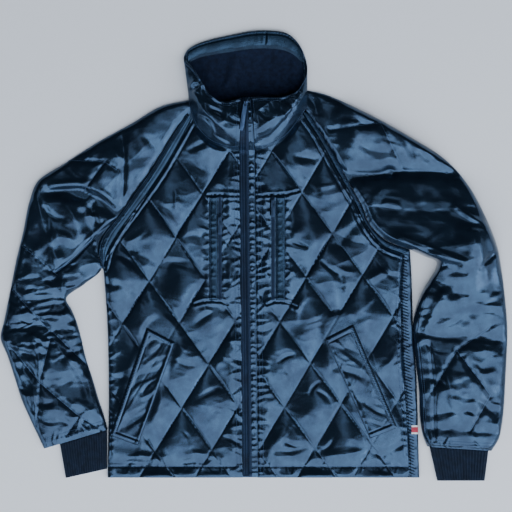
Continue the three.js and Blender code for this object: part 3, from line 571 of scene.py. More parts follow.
def joined(solids: list[Solid]) -> Solid:
    """Returns several solids as one mesh."""
    starts = np.cumsum([0] + [len(s.points) for s in solids[:-1]])
    faces = [block + start for s, start in zip(solids, starts) for block in s.faces]
    return Solid(np.vstack([s.points for s in solids]), faces)


def make_piece(name: str, solid: Solid, material: bpy.types.Material) -> bpy.types.Object:
    """Makes a mesh object at the origin from a solid in millimetres.

    Args:
        name: of the piece.
        solid: its closed mesh.
        material: its finish.

    Returns:
        The new object, linked to the scene.
    """
    mesh = bpy.data.meshes.new(name)
    faces = [face for block in solid.faces for face in block.tolist()]
    mesh.from_pydata((solid.points * MM).tolist(), [], faces)
    if solid.uv is not None:
        corner = np.empty(len(mesh.loops), np.int32)
        mesh.loops.foreach_get("vertex_index", corner)
        mesh.uv_layers.new(name="cloth").data.foreach_set("uv", solid.uv[corner].astype(np.float32).ravel())
    mesh.shade_smooth()
    mesh.set_sharp_from_angle(angle=math.radians(CRISP))
    mesh.materials.append(material)
    made = bpy.data.objects.new(name, mesh)
    bpy.context.scene.collection.objects.link(made)
    triangles = sum(block.shape[0] * (block.shape[1] - 2) for block in solid.faces)
    log.info("%s: %d triangles", name, triangles)
    return made


def walled(name: str, surface: Surface, under: Array | float,
           material: bpy.types.Material) -> bpy.types.Object:
    """Makes a piece of cloth: a closed wall between a surface and a coarser grid under it.

    Args:
        name: of the piece.
        surface: the cloth's outside.
        under: the coarse grid's points, or the height at which it lies flat.
        material: its finish.

    Returns:
        The new object, linked to the scene.
    """
    if isinstance(under, float):
        level, under = under, surface.coarse().copy()
        under[..., 2] = level
    return make_piece(name, shell(surface.points, under, uv=surface.cloth_uv()), material)


def fit(piece: bpy.types.Object, nodes: list[str], body: str = JACKET) -> bpy.types.Object:
    """Lets a piece ride on a body and stand for its nodes, whose solids it hides."""
    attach(piece, body)
    if nodes:
        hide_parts(*nodes)
    return piece


# ---------------------------------------------------------------- finishes
def linear(colour: str) -> tuple[float, float, float, float]:
    """Returns an sRGB hex colour as linear numbers with an alpha of 1."""
    parts = [int(colour[k : k + 2], 16) / 255 for k in (1, 3, 5)]
    return (*[c / 12.92 if c <= 0.04045 else ((c + 0.055) / 1.055) ** 2.4 for c in parts], 1.0)


def add_node(tree: bpy.types.NodeTree, kind: str, inputs: dict | None = None,
             settings: dict | None = None) -> bpy.types.Node:
    """Adds a node to a material.

    Args:
        tree: the material's nodes.
        kind: the node's type, without its ShaderNode prefix.
        inputs: a value or an output for each named or numbered input.
        settings: properties to set first.

    Returns:
        The new node.
    """
    made = tree.nodes.new("ShaderNode" + kind)
    for name, value in (settings or {}).items():
        setattr(made, name, value)
    for name, value in (inputs or {}).items():
        if isinstance(value, bpy.types.NodeSocket):
            tree.links.new(value, made.inputs[name])
        else:
            made.inputs[name].default_value = value
    return made


def add_noise(tree: bpy.types.NodeTree, place: bpy.types.Node, scale: float, detail: float,
              roughness: float = 0.5) -> bpy.types.NodeSocket:
    """Adds noise in the piece's own space to a material and returns its value."""
    return add_node(tree, "TexNoise", {
        "Vector": place.outputs["Object"], "Scale": scale, "Detail": detail,
        "Roughness": roughness}).outputs["Fac"]


def add_shader(tree: bpy.types.NodeTree, values: dict) -> None:
    """Adds the shader and the output that end a material."""
    shader = add_node(tree, "BsdfPrincipled", values)
    add_node(tree, "OutputMaterial", {"Surface": shader.outputs["BSDF"]})


def blank(name: str) -> tuple[bpy.types.Material, bpy.types.NodeTree]:
    """Returns a new material and its empty node tree."""
    material = bpy.data.materials.new(name)
    material.use_nodes = True
    material.node_tree.nodes.clear()
    return material, material.node_tree


@dataclass(frozen=True)
class Cloth:
    """Woven or knitted cloth: two tones clouded together, threads and a soft crush in the bump.

    Thread pitches are in metres. Real taffeta threads are about 0.2 mm apart, and are drawn 0.6 mm
    apart here, as fine as can show.
    """

    name: str
    dark: str
    light: str
    roughness: float
    sheen: float
    sheen_tint: str
    gloss: float
    thread: float
    thread_bump: float
    crush_bump: float
    metallic: float = 0.0
    cloud: float = 0.03
    crush_scale: float = 220.0

    def material(self) -> bpy.types.Material:
        """Returns the cloth's material."""
        material, tree = blank(self.name)
        place = add_node(tree, "TexCoord")
        clouds = add_noise(tree, place, 1 / self.cloud, 4.0, 0.6)
        tones = add_node(tree, "ValToRGB", {"Fac": clouds})
        tones.color_ramp.elements[0].position, tones.color_ramp.elements[1].position = 0.35, 0.68
        tones.color_ramp.elements[0].color = linear(self.dark)
        tones.color_ramp.elements[1].color = linear(self.light)
        shine = add_node(tree, "MapRange", {
            "Value": clouds, "From Min": 0.3, "From Max": 0.7,
            "To Min": self.roughness + 0.05, "To Max": self.roughness - 0.05})
        heights = []
        for direction in ("X", "Y"):
            threads = add_node(tree, "TexWave", {
                "Vector": place.outputs["UV"], "Scale": 0.314 / self.thread, "Distortion": 0.6,
                "Detail": 1.0, "Detail Scale": 2.0}, {"bands_direction": direction, "wave_profile": "SIN"})
            heights.append(threads.outputs["Fac"])
        weave = add_node(tree, "Math", dict(enumerate(heights)), {"operation": "MAXIMUM"})
        crush = add_noise(tree, place, self.crush_scale, 5.0, 0.62)
        low = add_node(tree, "Bump", {"Height": crush, "Strength": self.crush_bump, "Distance": 0.0022})
        high = add_node(tree, "Bump", {
            "Height": weave.outputs[0], "Strength": self.thread_bump, "Distance": 0.0002,
            "Normal": low.outputs["Normal"]})
        add_shader(tree, {
            "Base Color": tones.outputs["Color"], "Roughness": shine.outputs["Result"],
            "Metallic": self.metallic, "Specular IOR Level": self.gloss, "Sheen Weight": self.sheen,
            "Sheen Roughness": 0.4, "Sheen Tint": linear(self.sheen_tint), "Normal": high.outputs["Normal"]})
        return material


@dataclass(frozen=True)
class Hard:
    """Moulded or cast stock.

    Handling marks mix its two tones and vary its roughness, a fine grain roughens its bump, and a tint
    colours its highlight.
    """

    name: str
    colour: str
    worn: str
    roughness: float
    metallic: float
    grain: float
    grain_bump: float
    tint: str = "#ffffff"
    mark_scale: float = 400.0

    def material(self) -> bpy.types.Material:
        """Returns the stock's material."""
        material, tree = blank(self.name)
        place = add_node(tree, "TexCoord")
        marks = add_noise(tree, place, self.mark_scale, 6.0, 0.7)
        tones = add_node(tree, "Mix", {
            "Factor": marks, "A": linear(self.colour), "B": linear(self.worn)}, {"data_type": "RGBA"})
        shine = add_node(tree, "MapRange", {
            "Value": marks, "To Min": self.roughness - 0.08, "To Max": self.roughness + 0.1})
        grain = add_noise(tree, place, 1 / self.grain, 2.0)
        bump = add_node(tree, "Bump", {"Height": grain, "Strength": self.grain_bump, "Distance": 0.0002})
        add_shader(tree, {
            "Base Color": tones.outputs["Result"], "Roughness": shine.outputs["Result"],
            "Metallic": self.metallic, "Specular Tint": linear(self.tint), "Normal": bump.outputs["Normal"]})
        return material


@dataclass(frozen=True)
class Finishes:
    """Every finish of the jacket, made once."""

    taffeta: bpy.types.Material
    binding: bpy.types.Material
    fleece: bpy.types.Material
    rib: bpy.types.Material
    tape: bpy.types.Material
    thread: bpy.types.Material
    topstitch: bpy.types.Material
    acetal: bpy.types.Material
    gunmetal: bpy.types.Material
    nickel: bpy.types.Material
    tab: bpy.types.Material
    tab_stripe: bpy.types.Material

    @classmethod
    def make(cls) -> Finishes:
        """Returns the finishes, each from what the real one is."""
        return cls(
            # polyester taffeta, calendered: a broad soft highlight, the colour of the cloth
            taffeta=Cloth("polyester taffeta", "#2b3a4b", "#35495d", 0.18, 0.05, "#7fa0c8", 0.5,
                          0.0006, 0.08, 0.04, 0.85).material(),
            # the same taffeta in doubled strips, a little duller
            binding=Cloth("doubled taffeta", "#1b2b3a", "#263a4c", 0.27, 0.1, "#7f9cc0", 0.5,
                          0.0006, 0.12, 0.12, 0.85).material(),
            # brushed polyester fleece: no gloss, a dark nap
            fleece=Cloth("brushed fleece", "#091120", "#0e1a30", 0.95, 0.35, "#3c5480", 0.2,
                         0.0011, 0.2, 0.5, 0.0, 0.008).material(),
            # acrylic rib knit: matte, with a faint nap
            rib=Cloth("acrylic rib knit", "#081320", "#0d1c2e", 0.9, 0.25, "#3c5270", 0.25,
                      0.0008, 0.3, 0.35, 0.0, 0.01).material(),
            # herringbone polyester tape: matte
            tape=Cloth("polyester zip tape", "#091626", "#0f2136", 0.5, 0.1, "#506a8a", 0.35,
                       0.0009, 0.3, 0.1, 0.7).material(),
            # bright filament thread of the topstitching: a tone lighter than the cloth
            topstitch=Cloth("filament thread", "#33465f", "#435a78", 0.4, 0.1, "#8fa8cc", 0.4,
                            0.0004, 0.3, 0.1, 0.5).material(),
            # spun polyester thread of the quilting, sunk in its seams, with a little shine
            thread=Cloth("polyester thread", "#121b2a", "#1b2739", 0.5, 0.1, "#8fa8cc", 0.4,
                         0.0004, 0.3, 0.1, 0.1).material(),
            # moulded acetal teeth: smooth and dark
            acetal=Hard("moulded acetal", "#0b1622", "#122032", 0.42, 0.0, 0.0006, 0.1, "#9fb8e6").material(),
            # zinc alloy, dark plated: satin gloss
            gunmetal=Hard("dark plated zinc", "#1a2534", "#2a394c", 0.34, 0.9, 0.0005, 0.1).material(),
            # zinc alloy, nickel plated and brushed by wear
            nickel=Hard("worn nickel plate", "#466084", "#6580a4", 0.3, 0.9, 0.0005, 0.12).material(),
            # woven polyester label, pale with a red middle
            tab=Cloth("woven label", "#c9c6c2", "#dedcd8", 0.6, 0.2, "#ffffff", 0.4,
                      0.0005, 0.4, 0.1, 0.0).material(),
            tab_stripe=Cloth("woven label stripe", "#8e2430", "#a83040", 0.6, 0.2, "#ffb0b0", 0.4,
                             0.0005, 0.4, 0.1, 0.0).material(),
        )


# ---------------------------------------------------------------- sewing
@dataclass
class Sewing:
    """Topstitching: many small stitches along lines on the cloth, made as one mesh."""

    pitch: float = 4.2
    length: float = 3.2
    width: float = 0.8
    rise: float = 0.35
    runs: list[tuple[Array, Array]] = field(default_factory=list)

    def add(self, line: Array, pitch: float | None = None) -> None:
        """Lays a run of stitches on a line of points.

        Args:
            line: points in order along the seam, on the cloth.
            pitch: distance between stitches, or none for the usual one.
        """
        at = lengths(line) if len(line) else np.zeros(1)
        if len(line) < 2 or at[-1] < self.pitch:
            return
        step = pitch or self.pitch
        middles = np.arange(step / 2, at[-1], step)
        ends = [np.clip(middles + shift, 0, at[-1]) for shift in (-self.length / 2, self.length / 2)]
        first, last = [np.stack([np.interp(e, at, line[:, k]) for k in range(3)], axis=1) for e in ends]
        along = last - first
        along /= np.maximum(np.linalg.norm(along, axis=1, keepdims=True), 1e-6)
        aside = np.cross([0.0, 0.0, 1.0], along)
        aside /= np.maximum(np.linalg.norm(aside, axis=1, keepdims=True), 1e-6)
        above = np.cross(along, aside)
        self.runs.append(((first + last) / 2 + above * self.rise, np.stack([along, aside, above], axis=1)))

    def zigzag(self, surface: Surface, rows: tuple[float, float], columns: tuple[float, float],
               count: int) -> None:
        """Lays stitches to and fro on a surface.

        Args:
            surface: the cloth.
            rows: shares of its rows from which the run goes and to which, or two shares it swings between.
            columns: the same for its columns; the shorter way is the one it swings.
            count: of stitches.
        """
        swings = np.arange(count + 1) % 2
        onward = np.linspace(0, 1, count + 1)
        tall = abs(rows[1] - rows[0]) > abs(columns[1] - columns[0])
        down, across = (onward, swings) if tall else (swings, onward)
        line = surface.sample(mix(*rows, down), mix(*columns, across))
        self.add(line, lengths(line)[-1] / count)

    def stitch(self) -> Solid:
        """Returns one stitch: a four-sided spindle, lying along X, with its ends sunk."""
        half, w = self.length / 2, self.width / 2
        ring = [[0, 1], [1, 0], [0, -1], [-1, 0]]
        points = [[-half, 0, -2.0 * w]]
        points += [[x, y * w, z * w] for x in (-half * 0.6, half * 0.6) for y, z in ring]
        points += [[half, 0, -2.0 * w]]
        k = np.arange(4)
        after = (k + 1) % 4
        tips = [np.stack([0 * k, 1 + k, 1 + after], axis=1), np.stack([0 * k + 9, 5 + after, 5 + k], axis=1)]
        belly = np.stack([1 + k, 5 + k, 5 + after, 1 + after], axis=1)
        return Solid(np.array(points, float), [np.vstack(tips), belly]).outward()

    def build(self, name: str, thread: bpy.types.Material) -> bpy.types.Object:
        """Returns the sewing as a piece that rides on the jacket."""
        places = np.vstack([run[0] for run in self.runs])
        frames = np.concatenate([run[1] for run in self.runs])
        piece = make_piece(name, repeated(self.stitch(), places, frames), thread)
        return fit(piece, [])


# ---------------------------------------------------------------- the quilted body
@dataclass(frozen=True)
class Quilt:
    """Diamond quilting of one front, on lattice coordinates whose whole numbers are the seams."""

    knot: tuple[float, float]
    lean: float
    half_width: float = 52.0
    half_height: float = 78.4
    puff: float = 8.0
    crest_spread: float = 0.36
    fullness: tuple[float, float] = (0.78, 1.12)

    def axes(self) -> tuple[Array, Array]:
        """Returns half a diamond across and half a diamond up, turned by the lean."""
        c, s = math.cos(math.radians(self.lean)), math.sin(math.radians(self.lean))
        return self.half_width * np.array([c, s]), self.half_height * np.array([-s, c])

    def lattice(self, x: Array, y: Array) -> tuple[Array, Array]:
        """Returns the lattice coordinates of plan points: half the sum and difference of the axis steps."""
        across, up = self.axes()
        scale = across[0] * up[1] - across[1] * up[0]
        dx, dy = x - self.knot[0], y - self.knot[1]
        i, j = (dx * up[1] - dy * up[0]) / scale, (dy * across[0] - dx * across[1]) / scale
        return (i + j) / 2, (i - j) / 2

    def point(self, u: Array, v: Array) -> Array:
        """Returns plan points of lattice coordinates."""
        across, up = self.axes()
        return np.array(self.knot) + (u + v)[..., None] * across + (u - v)[..., None] * up

    def padding(self, u: Array, v: Array, seed: int) -> Array:
        """Height of the padding: a double arch in each diamond, of its own fullness and crest."""
        rng = np.random.default_rng(seed)
        i, j = np.floor(u).astype(int) % 16, np.floor(v).astype(int) % 16
        crest_u, crest_v = np.exp(rng.normal(0, self.crest_spread, (2, 16, 16)))
        fullness = rng.uniform(*self.fullness, (16, 16))
        part_u, part_v = [(w - np.floor(w)) ** crest[i, j] for w, crest in ((u, crest_u), (v, crest_v))]
        return self.puff * fullness[i, j] * arch(part_u) * arch(part_v)

    def side(self) -> float:
        """Returns the length of one seam between two crossings."""
        return math.hypot(self.half_width, self.half_height)

    def spacing(self) -> float:
        """Returns the distance between neighbouring parallel seams."""
        return 2 * self.half_width * self.half_height / self.side()

    def dents(self, low: Array, high: Array, seed: int) -> list:
        """Seeded dents and rucks, a few in each diamond between two plan corners."""
        rng = np.random.default_rng(seed)
        corners = np.array([[x, y] for x in (low[0], high[0]) for y in (low[1], high[1])])
        u, v = self.lattice(corners[:, 0], corners[:, 1])
        rows = []
        for i in range(math.floor(u.min()), math.ceil(u.max())):
            for j in range(math.floor(v.min()), math.ceil(v.max())):
                count = rng.integers(2, 5)
                inner = rng.uniform(0.2, 0.8, (count, 2)) + [i, j]
                centres = self.point(inner[:, 0], inner[:, 1])
                rows += scattered(rng, centres, (22, 58), (-2.8, 1.8), (8, 38))
        return rows


@dataclass
class Body:
    """The back and the two quilted fronts, with the turned side seam and the hem."""

    quilts: dict[Side, Quilt] = field(default_factory=lambda: {
        Side.RIGHT: Quilt((-132.6, -280.4), 2.0), Side.LEFT: Quilt((103.8, -197.4), 2.9)})
    rows: int = 353
    columns: int = 145
    back_rows: int = 177
    back_columns: int = 145
    half_tape: float = 14.0
    zip_top_x: float = -12.5
    zip_hem_x: float = -6.5
    hand_plateau: float = 5.5
    chest_plateau: float = 4.0
    plateau_blend: float = 15.0
    hand_half: float = 27.0
    chest_plateaus: tuple = ((-70.7, 12.0), (44.5, 13.0))
    zip_stitching: tuple[float, float] = (4.5, 10.5)
    side_stitching: tuple[float, float] = (3.0, 8.0)
    quilted_to: int = 9
    pocket_clearance: float = 2.0
    surfaces: dict[Side, Surface] = field(default_factory=dict)
    dents: dict[Side, list] = field(default_factory=dict)

    def __post_init__(self) -> None:
        """Works out the shared lines and each front's dents."""
        self.side_right, self.side_left, self.side_seam = [
            through(rows, 12) for rows in (SIDE_RIGHT, SIDE_LEFT, SIDE_SEAM)]
        self.raglan = {Side.RIGHT: through(BAND_RIGHT, 12), Side.LEFT: through(BAND_LEFT, 12)}
        for side, quilt in self.quilts.items():
            low = np.array([-280.0, HEM_Y]) if side is Side.RIGHT else np.array([0.0, HEM_Y])
            self.dents[side] = quilt.dents(low, low + [285.0, 660.0], 40 + side.value)

    def zip_x(self, y: Array) -> Array:
        """Returns the middle of the zip on the body."""
        return mix(self.zip_hem_x, self.zip_top_x, np.clip((y - HEM_Y) / (NECK_Y - HEM_Y), 0, 1))

    def neck(self, side: Side) -> Array:
        """Returns the neck seam of one front, from the raglan seam to the zip."""
        rows = COLLAR_SECTIONS[0:6] if side is Side.RIGHT else COLLAR_SECTIONS[18:24]
        line = through([row[:2] for row in rows], 8) - [0, SEAM_GAP]
        return line[::-1] if side is Side.RIGHT else line

    def outline(self, side: Side) -> tuple[Array, Array, Array, Array]:
        """Edges of one front: its side from the hem up, the zip from the hem up, the hem, the neck."""
        seam = self.side_right if side is Side.RIGHT else self.side_seam
        outer = np.vstack([seam[::-1], self.raglan[side][::-1][1:]])
        hem_in, neck_in = [[self.zip_x(y) + side.value * self.half_tape, y] for y in (HEM_Y, NECK_Y)]
        neck = np.vstack([self.raglan[side][0], self.neck(side)[1:-1], neck_in])
        outer = spaced(outer, self.rows)
        edge = np.linspace(hem_in, neck[-1], self.rows)
        hem = np.linspace(outer[0], edge[0], self.columns)
        return outer, edge, hem, spaced(neck, self.columns)

    def plateaus(self) -> list[tuple[Array, float, float]]:
        """Pocket axes with the half-width and height of the flat padding under them."""
        found = []
        for a, b, c, d in (HAND_RIGHT, HAND_LEFT):
            axis = np.array([np.add(a, b) / 2, np.add(d, c) / 2])
            found.append((axis, self.hand_half, self.hand_plateau))
        for x, half in self.chest_plateaus:
            found.append((np.array([[x, CHEST_TOP], [x, CHEST_BOTTOM]]), half, self.chest_plateau))
        return found

    def height(self, side: Side, x: Array, y: Array) -> Array:
        """Height of a front's outside.

        Stitched wall, plus the padding's double arch between quilting seams, pressed to plateaus under
        the pockets, held down at hem, zip and raglan seams, plus folds, dents and puckers, all rolled
        off at the free edges.
        """
        quilt = self.quilts[side]
        u, v = quilt.lattice(x, y)
        shape = quilt.padding(u, v, 60 + side.value)
        seam_off = np.minimum(np.abs(u - np.round(u)), np.abs(v - np.round(v))) * quilt.spacing()
        loose = np.ones_like(x)
        for axis, half, level in self.plateaus():
            share = smooth((from_line(x, y, axis)[0] - half) / self.plateau_blend)
            shape = mix(level, shape, share)
            loose *= mix(0.25, 1.0, share)
        hem = np.abs(y - (HEM_Y + HEM_TURNING))
        shape *= smooth(hem / HEM_TURNING)
        to_zip = np.abs(x - self.zip_x(y)) - self.half_tape
        shape *= mix(0.35, 1.0, smooth(to_zip / 22))
        to_raglan, on_raglan = from_line(x, y, self.raglan[side])
        shape *= mix(0.35, 1.0, smooth(to_raglan / 16))
        shape = shape + creases(x, y, FOLDS, False) + loose * creases(x, y, CREASES)
        shape += loose * creases(x, y, self.dents[side]) * smooth(seam_off / 9)
        uneven = 1.2 * noise(x, y, 36, 3) + 1.6 * noise(x, y, 85, 9)
        uneven = uneven + 0.35 * crumple(x, y, 24, 5, 20, 1.8) + 0.12 * crumple(x, y, 10, 4, -15, 2.0)
        shape += loose * uneven
        shape += 0.9 * puckers(to_raglan, on_raglan, 13, 13, 21)
        shape += 2.0 * bell(to_raglan - 5.0, 2.6)
        shape -= 1.3 * bell(to_raglan - 9.6, 1.3)
        shape += 2.6 * puckers(to_zip, y, 27, 14, 23 + side.value)
        shape += self.chest_gathers(side, x, y)
        shape = shape + 1.5 * puckers(hem, x, 17, 13, 27) - 1.2 * bell(hem, 1.6)
        seam = self.side_right if side is Side.RIGHT else self.side_seam
        to_side, on_side = from_line(x, y, seam)
        shape += 1.7 * puckers(to_side, on_side, 20, 13, 31)
        crossing = np.where(np.abs(u - np.round(u)) < np.abs(v - np.round(v)), v, u) * quilt.side()
        shape += 0.22 * loose * puckers(seam_off - 4, crossing, 7, 13, 35)
        shape -= 1.0 * loose * bell(seam_off, 1.3)
        to_neck = from_line(x, y, self.neck(side))[0]
        full = mix(4.6, STITCHED_WALL + shape, smooth(to_neck / 8))
        tucked = 2.0 if side is Side.LEFT else 0.0
        ends = np.minimum(y - HEM_Y + 3, np.where(y < 0, to_side, EDGE_RADIUS) + tucked)
        roll = rounded(ends) * mix(0.35, 1.0, rounded(to_zip + 0.2, 3.5))
        return FRONT_INSIDE + EDGE_LIP + np.maximum(full - EDGE_LIP, 0.4) * roll

    def chest_lines(self, side: Side) -> list[Array]:
        """Returns the seams above and below a chest pocket, as plan lines."""
        if side is Side.RIGHT:
            return [np.array([[-84, 111], [-56, 111.5], [-28, 110]]),
                    np.array([[-109, -89], [-96, -85], [-84, -83.5], [-60, -84.5], [-50, -90]])]
        return [np.array([[4, 110], [34, 111], [60, 113], [83, 119]]),
                np.array([[24, -90], [36, -85], [50, -84.5], [64, -88], [78, -94]])]

    def chest_gathers(self, side: Side, x: Array, y: Array) -> Array:
        """Returns the ridges on both sides of a chest pocket and the grooves of its seams."""
        low, high = (-84.0, -57.0) if side is Side.RIGHT else (30.0, 59.0)
        beside_box = np.maximum(low - x, x - high)
        span = smooth((y - CHEST_BOTTOM) / 10 + 0.5) * smooth((CHEST_TOP - y) / 10 + 0.5)
        total = 2.2 * puckers(np.maximum(beside_box, 0), y + 5, 22, 15, 151 + side.value)
        total = total * span * (beside_box > 0)
        for k, line in enumerate(self.chest_lines(side)):
            away, along = from_line(x, y, line)
            total = total - 1.8 * bell(away, 1.8) + 0.9 * bell(away - 5, 3)
            total += 1.0 * puckers(away, along, 12, 11, 155 + k)
        return total

    def make_front(self, side: Side, finishes: Finishes) -> bpy.types.Object:
        """Returns one front: a grid between its four edges, raised to its height over a plain inside."""
        plan = coons(*self.outline(side))
        x, y = plan[..., 0], plan[..., 1]
        surface = Surface(np.dstack([x, y, self.height(side, x, y)]))
        self.surfaces[side] = surface
        piece = walled(f"quilted_front_{side.word}", surface, FRONT_INSIDE, finishes.taffeta)
        return fit(piece, [f"front_{side.word}"])

    def make_back(self, raglan_outer: dict[Side, Array], finishes: Finishes) -> bpy.types.Object:
        """Returns the back, a flat plate with rounded rims, and makes the strip turned at its side seam."""
        left = np.vstack([self.side_right[::-1], raglan_outer[Side.RIGHT][::-1][1:]])
        right = np.vstack([self.side_left[::-1], raglan_outer[Side.LEFT][::-1][1:]])
        neck = np.array([left[-1], [-112, 272], [-106, 298], [-72, 306.7], [-40, 307.7], [22, 307.7],
                         [77, 302.7], [88, 290], [88, 268], right[-1]])
        left, right = spaced(left, self.back_rows), spaced(right, self.back_rows)
        hem = np.linspace(left[0], right[0], self.back_columns)
        plan = coons(left, right, hem, spaced(neck, self.back_columns))
        i = np.minimum(np.arange(self.back_rows), np.arange(self.back_rows)[::-1])[:, None]
        j = np.minimum(np.arange(self.back_columns), np.arange(self.back_columns)[::-1])[None]
        rim = rounded(np.minimum(i, j).astype(float) * 3.6, 3.0)
        top = Surface(np.dstack([plan, mix(2.8, BACK_WALL - 0.1, rim)]))
        piece = walled("back_panel", top, 0.0, finishes.taffeta)
        turned = walled("back_side_turning", self.turned_strip(), BACK_WALL - 0.4, finishes.taffeta)
        fit(turned, [])
        return fit(piece, ["back"])

    def turned_strip(self) -> Surface:
        """Returns the back's strip at the wearer's left: a low crown from the seam to the folded edge."""
        line = spaced(self.side_seam, 273)
        share = np.linspace(0, 1, 17)[None]
        y = line[:, 1:2] + 0 * share
        start, end = line[:, :1] + SEAM_GAP, x_at(self.side_left, line[:, 1])[:, None]
        x = mix(start, end, share)
        gather = 0.45 * puckers(x - start, y, 16, 9, 33) + 0.5 * crumple(x, y, 11, 8, 25, 1.8)
        stitched = smooth(share / 0.12) * smooth((0.62 - share) / 0.12)
        gather += 0.5 * stitched * np.cos(2 * math.pi * (y + 0.4 * x) / 5.6)
        crown = 1.5 * np.sin(math.pi * share) + gather
        height = EDGE_LIP + (STITCHED_WALL + crown) * rounded(np.minimum(end - x, y - HEM_Y + 3))
        height -= 1.2 * bell(x - start, 2.0)
        return Surface(np.dstack([x, y, FRONT_INSIDE + height]))

    def sew(self, sewing: Sewing) -> None:
        """Lays the stitches of zip edges, hem and side seam."""
        t = np.linspace(0.005, 0.995, 400)
        for side, surface in self.surfaces.items():
            for inset in self.zip_stitching:
                y = np.linspace(HEM_Y + 8, NECK_Y - 6, 400)
                x = self.zip_x(y) + side.value * (self.half_tape + inset)
                sewing.add(np.stack([x, y, self.height(side, x, y)], axis=1))
            ends = surface.sample(np.full(400, 0.0), t)
            y = np.full(400, HEM_Y + HEM_TURNING)
            sewing.add(np.stack([ends[:, 0], y, self.height(side, ends[:, 0], y)], axis=1))
        for inset in self.side_stitching:
            line = beside(self.side_seam, -inset)[::-1]
            x, y = line[6:, 0], line[6:, 1]
            sewing.add(np.stack([x, y, self.height(Side.LEFT, x, y)], axis=1))
        strip = self.turned_strip()
        sewing.zigzag(strip, (0.01, 0.99), (0.15, 0.42), 130)

    def quilting(self, sewing: Sewing) -> None:
        """Lays the stitches along every quilting seam, inside its front and clear of the pockets."""
        for side, quilt in self.quilts.items():
            outer, edge, _, neck = self.outline(side)
            outline = np.vstack([outer, neck[1:], edge[::-1]])
            padded = self.plateaus()
            steps = np.linspace(-self.quilted_to, self.quilted_to, 1400)
            for whole in range(-self.quilted_to, self.quilted_to + 1):
                for pair in ((steps * 0 + whole, steps), (steps, steps * 0 + whole)):
                    plan = quilt.point(*pair)
                    x, y = plan.T
                    off_pockets = [from_line(x, y, axis)[0] - half for axis, half, _ in padded]
                    keep = inside(x, y, outline) & (np.min(off_pockets, axis=0) > self.pocket_clearance)
                    for part in np.split(plan[keep], np.where(np.diff(np.where(keep)[0]) > 1)[0] + 1):
                        if len(part) > 4:
                            z = self.height(side, part[:, 0], part[:, 1])
                            sewing.add(np.column_stack([part, z]))


